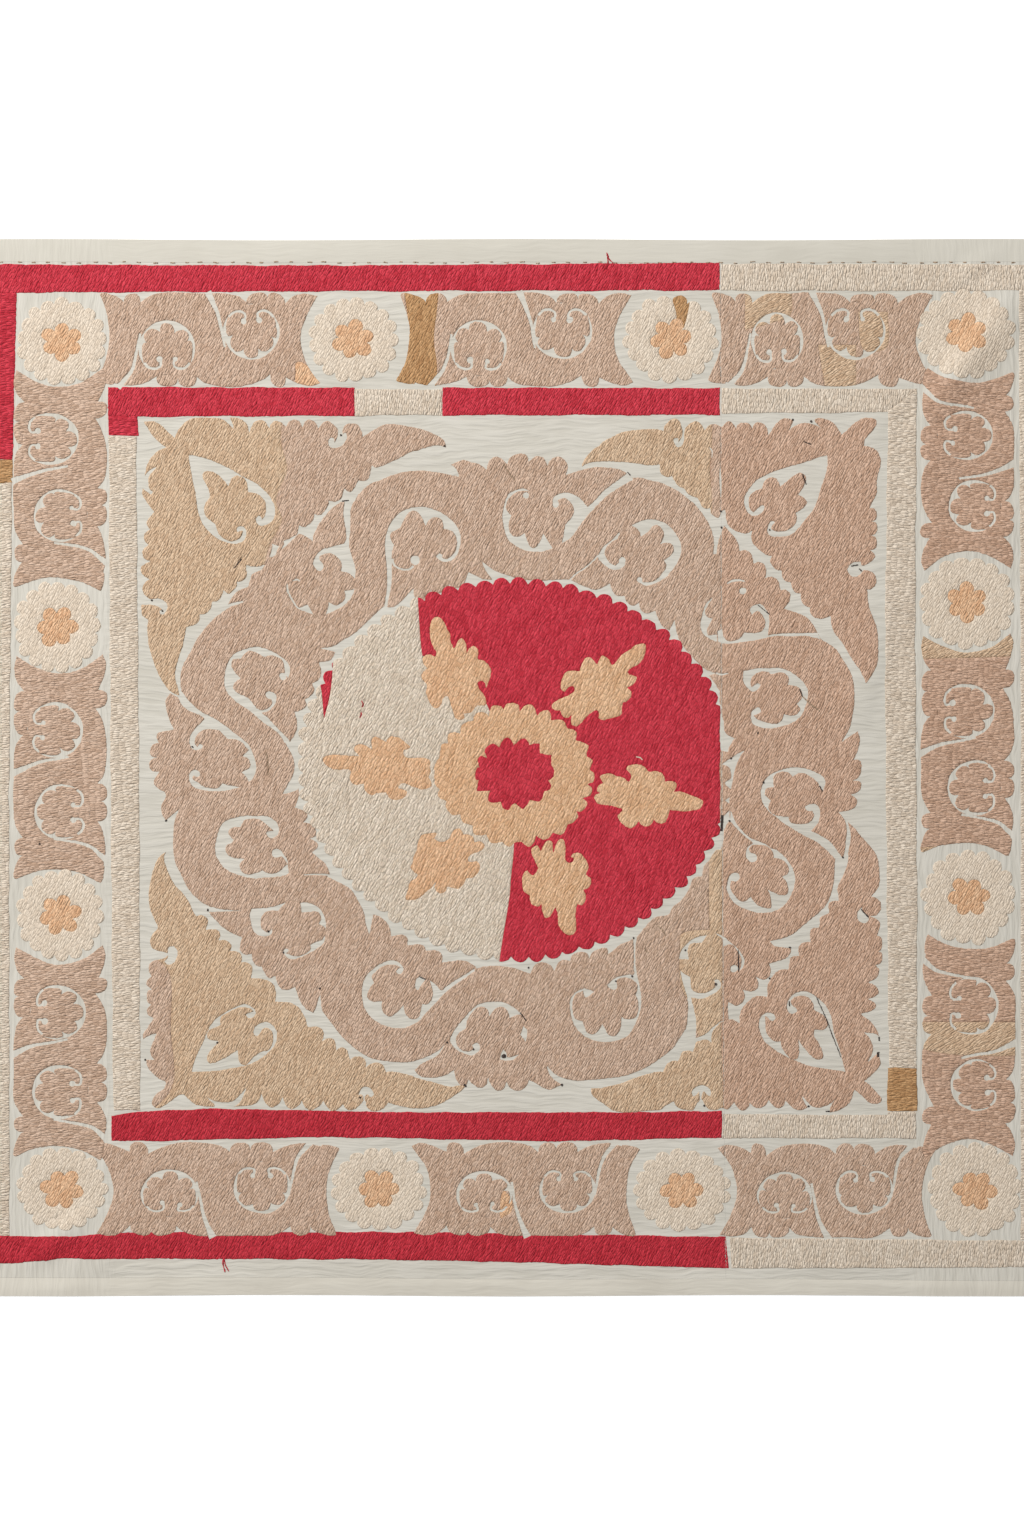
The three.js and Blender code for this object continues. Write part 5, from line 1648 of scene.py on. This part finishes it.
def make_weave_group():
    """Plain cotton weave with slubs, and fine puckers where the stitching has drawn it up."""
    tree, given, result = group(
        "plain weave",
        [("Pucker", "NodeSocketFloat", 1.0)],
        [("Height", "NodeSocketFloat"), ("Shadow", "NodeSocketFloat"), ("Mottle", "NodeSocketFloat")],
    )
    n = Nodes(tree)
    place = n.add("ShaderNodeTexCoord").outputs["Object"]
    weft = n.noise(n.stretch(place, (60, 900, 1)), 1.0, 3, 0.6).outputs["Fac"]
    warp = n.noise(n.stretch(place, (900, 60, 1)), 1.0, 3, 0.6).outputs["Fac"]
    slubs = n.math("MULTIPLY", n.math("ADD", weft, warp), 0.5)
    parts = n.add("ShaderNodeSeparateXYZ", inputs={0: place})
    far_x = n.math("ABSOLUTE", n.math("ADD", parts.outputs[0], 0.01))
    side = n.ramp(far_x, 0.74, 0.78)
    bent = n.noise(place, 9, 2)
    push = n.add("ShaderNodeVectorMath", operation="SCALE", inputs={0: bent.outputs["Color"]})
    push.inputs["Scale"].default_value = 0.03
    moved = n.add("ShaderNodeVectorMath", operation="ADD", inputs={0: place, 1: push.outputs[0]}).outputs[0]
    upright = n.noise(n.stretch(moved, (120, 14, 1)), 1.0, 2, 0.5).outputs["Fac"]
    level = n.noise(n.stretch(moved, (14, 110, 1)), 1.0, 2, 0.5).outputs["Fac"]
    folds = n.add("ShaderNodeMix", data_type="FLOAT", inputs={0: side, 2: level, 3: upright}).outputs[0]
    soft = n.ramp(folds, 0.3, 0.7)
    pucker = n.math("MULTIPLY", soft, given.outputs["Pucker"])
    height = n.math("ADD", n.math("MULTIPLY", pucker, 0.8), n.math("MULTIPLY", slubs, 0.14))
    n.give(result.inputs["Height"], height)
    shadow = n.math("MULTIPLY", n.math("SUBTRACT", 1.0, soft), given.outputs["Pucker"])
    n.give(result.inputs["Shadow"], shadow)
    n.give(result.inputs["Mottle"], n.noise(place, 5, 4, 0.6).outputs["Fac"])
    return tree


STITCH_GROUP = make_stitch_group()
WEAVE_GROUP = make_weave_group()


def thread(name, base, dark, light, relief):
    """Silky cotton thread in couched stitches, with painted shade darkening the valleys between them."""
    material = bpy.data.materials.new(name)
    material.use_nodes = True
    n = Nodes(material.node_tree)
    shader = material.node_tree.nodes["Principled BSDF"]
    stitches = n.add("ShaderNodeGroup", node_tree=STITCH_GROUP,
                     inputs={"Length": STITCH_LONG, "Pitch": STITCH_WIDE, "Waver": STITCH_WAVER})
    tone = n.mix(n.ramp(stitches.outputs["Grain"], 0.0, 1.0), dark, light)
    body = n.mix(0.55, tone, base)
    worn = n.mix(n.ramp(stitches.outputs["Mottle"], 0.35, 0.7), n.mix(0.12, body, light),
                 n.mix(0.26, body, light))
    # painted shade: the valleys between the stitches are darkened towards a deep copy of the thread's dark
    # tone
    painted_gap_shade = tuple(c * 0.42 for c in dark[:3]) + (1,)
    color = n.mix(n.math("MULTIPLY", stitches.outputs["Gap"], 0.45), worn, painted_gap_shade)
    n.give(shader.inputs["Base Color"], color)
    sheen = n.math("MULTIPLY", stitches.outputs["Grain"], 0.14)
    n.give(shader.inputs["Roughness"], n.math("SUBTRACT", 0.78, sheen))
    bump = n.add("ShaderNodeBump", inputs={"Strength": relief, "Distance": STITCH_BUMP,
                                           "Height": stitches.outputs["Height"]})
    n.give(shader.inputs["Normal"], bump.outputs[0])
    shader.inputs["Specular IOR Level"].default_value = 0.25
    return material


def cotton_cloth(name, base, dark, pucker):
    material = bpy.data.materials.new(name)
    material.use_nodes = True
    n = Nodes(material.node_tree)
    shader = material.node_tree.nodes["Principled BSDF"]
    weave = n.add("ShaderNodeGroup", node_tree=WEAVE_GROUP, inputs={"Pucker": pucker})
    mottled = n.mix(n.ramp(weave.outputs["Mottle"], 0.35, 0.75), base, n.mix(0.35, base, dark))
    color = n.mix(n.math("MULTIPLY", weave.outputs["Shadow"], 0.3), mottled, dark)
    n.give(shader.inputs["Base Color"], color)
    dull = n.math("MULTIPLY", weave.outputs["Mottle"], 0.1)
    n.give(shader.inputs["Roughness"], n.math("ADD", 0.82, dull))
    bump = n.add("ShaderNodeBump", inputs={"Strength": WEAVE_RELIEF, "Distance": WEAVE_BUMP,
                                           "Height": weave.outputs["Height"]})
    n.give(shader.inputs["Normal"], bump.outputs[0])
    shader.inputs["Specular IOR Level"].default_value = 0.2
    return material


THREADS = {}
for key, name, base, dark, light, relief in (
    ("pink tan", "pink tan thread", (203, 170, 145), (166, 132, 106), (226, 198, 176), 0.9),
    ("rosy tan", "rosy tan thread", (203, 165, 138), (164, 126, 100), (226, 192, 168), 0.9),
    ("gold tan", "gold tan thread", (211, 177, 144), (174, 139, 106), (230, 203, 172), 0.9),
    ("red", "madder red thread", (203, 43, 58), (152, 20, 36), (224, 72, 88), 0.9),
    ("deep red", "deep red thread", (194, 38, 52), (144, 18, 32), (216, 62, 76), 0.9),
    ("cream", "cream thread", (224, 206, 184), (192, 170, 146), (240, 226, 208), 0.9),
    ("pale cream", "pale cream thread", (222, 204, 183), (203, 184, 161), (236, 221, 201), 0.6),
    ("orange", "peach orange thread", (229, 180, 138), (196, 142, 100), (244, 206, 168), 0.9),
    ("apricot", "apricot thread", (228, 180, 137), (192, 140, 98), (244, 206, 168), 0.9),
    ("gold brown", "gold brown thread", (188, 141, 94), (150, 104, 62), (212, 170, 122), 0.9),
    ("ink", "sepia ink line", (66, 56, 52), (40, 34, 34), (92, 80, 74), 0.9),
    ("tan shadow", "unbleached sewing thread", (176, 150, 124), (140, 112, 88), (200, 176, 150), 0.9),
):
    THREADS[key] = thread(name, shade(*base), shade(*dark), shade(*light), relief)
COTTON = {
    "panel": cotton_cloth("washed cotton", shade(209, 204, 193), shade(184, 178, 164), 1.0),
    "heading": cotton_cloth("unbleached heading cotton", shade(206, 201, 189), shade(188, 182, 168), 0.35),
    "foot": cotton_cloth("unbleached foot cotton", shade(213, 207, 194), shade(182, 174, 160), 0.45),
}

THREAD_OF = {  # start of a piece's name: its thread
    "scroll_gold": "gold tan", "scroll_right": "rosy tan", "scroll": "pink tan", "wreath_gold": "gold tan",
    "wreath_right": "rosy tan", "wreath": "pink tan", "leaves_gold": "gold tan",
    "leaf_top_right": "rosy tan", "leaf_bottom_right": "rosy tan", "leaf": "pink tan",
    "flower_petals": "pale cream", "flower_stars": "orange", "medallion_red": "red",
    "medallion_cream": "cream", "ring_heart": "red", "ring": "apricot", "sprays_left": "orange",
    "sprays": "apricot", "patch_brown": "gold brown", "patch_peach": "orange", "patch_orange": "orange",
    "band_red_bottom": "deep red", "inner_red_bottom": "deep red", "band_red": "red", "inner_red": "red",
    "band_brown": "gold brown", "inner_brown": "gold brown", "band_cream": "cream", "inner_cream": "cream",
    "ink": "ink", "loose_red": "deep red", "loose_tan": "tan shadow", "loose_cream": "pale cream",
    "prick_stitches": "tan shadow",
}
for name, piece in stitching.items():
    match = next(key for key in THREAD_OF if name.startswith(key))
    piece.data.materials.append(THREADS[THREAD_OF[match]])
for piece, cloth, slot_name in ((panel_left, "panel", "embroidered_panel"),
                                (panel_right, "panel", "embroidered_panel"),
                                (heading, "heading", "heading_cotton"), (foot, "foot", "foot_cotton")):
    piece.data.materials.append(COTTON[cloth])

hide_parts("panel_left")
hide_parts("panel_right")
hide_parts("heading_strip")
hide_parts("foot_strip")
for piece in [*stitching.values(), panel_left, panel_right, heading, foot]:
    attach(piece, "root")

# ---------------------------------------------------------------------------------------------------------
# Floor, light and camera
# ---------------------------------------------------------------------------------------------------------

FLOOR_SIZE = 40
FLOOR_GLOW = 0.2
SOFT_LIGHT = 0.42
LAMP_PLACE = Vector((-5.4, 5.4, 7.0))  # beyond the upper left corner: the light falls off to the lower right
LAMP_WATTS = 990
LAMP_SIZE = 1.3

bpy.ops.object.select_all(action="DESELECT")
bpy.ops.mesh.primitive_plane_add(size=FLOOR_SIZE, location=(0, 0, 0))
floor = bpy.context.object
floor.name = "floor"
white = bpy.data.materials.new("white floor")
white.use_nodes = True
paint = white.node_tree.nodes["Principled BSDF"]
paint.inputs["Base Color"].default_value = (1, 1, 1, 1)
paint.inputs["Roughness"].default_value = 0.9
paint.inputs["Emission Color"].default_value = (1, 1, 1, 1)
paint.inputs["Emission Strength"].default_value = FLOOR_GLOW
floor.data.materials.append(white)

scene = bpy.context.scene
scene.view_settings.view_transform = "Standard"
world = bpy.data.worlds.new("studio")
world.use_nodes = True
world.node_tree.nodes["Background"].inputs[0].default_value = (1, 1, 1, 1)
world.node_tree.nodes["Background"].inputs[1].default_value = SOFT_LIGHT
scene.world = world

bpy.ops.object.light_add(type="AREA", location=LAMP_PLACE)
lamp = bpy.context.object
lamp.data.energy = LAMP_WATTS
lamp.data.size = LAMP_SIZE
lamp.rotation_mode = "QUATERNION"
lamp.rotation_quaternion = (-LAMP_PLACE).to_track_quat("-Z", "Y")

LENS = 85
SENSOR = 36
IMAGE = (1024, 1536)
CAMERA_HIGH = IMAGE[1] * SQUARE * LENS / SENSOR
bpy.ops.object.camera_add(location=((IMAGE[0] / 2 - CHART_MIDDLE[0]) * SQUARE,
                                    (CHART_MIDDLE[1] - IMAGE[1] / 2) * SQUARE, CAMERA_HIGH))
camera = bpy.context.object
camera.data.lens = LENS
camera.data.sensor_width = SENSOR
camera.data.clip_end = 100
scene.camera = camera
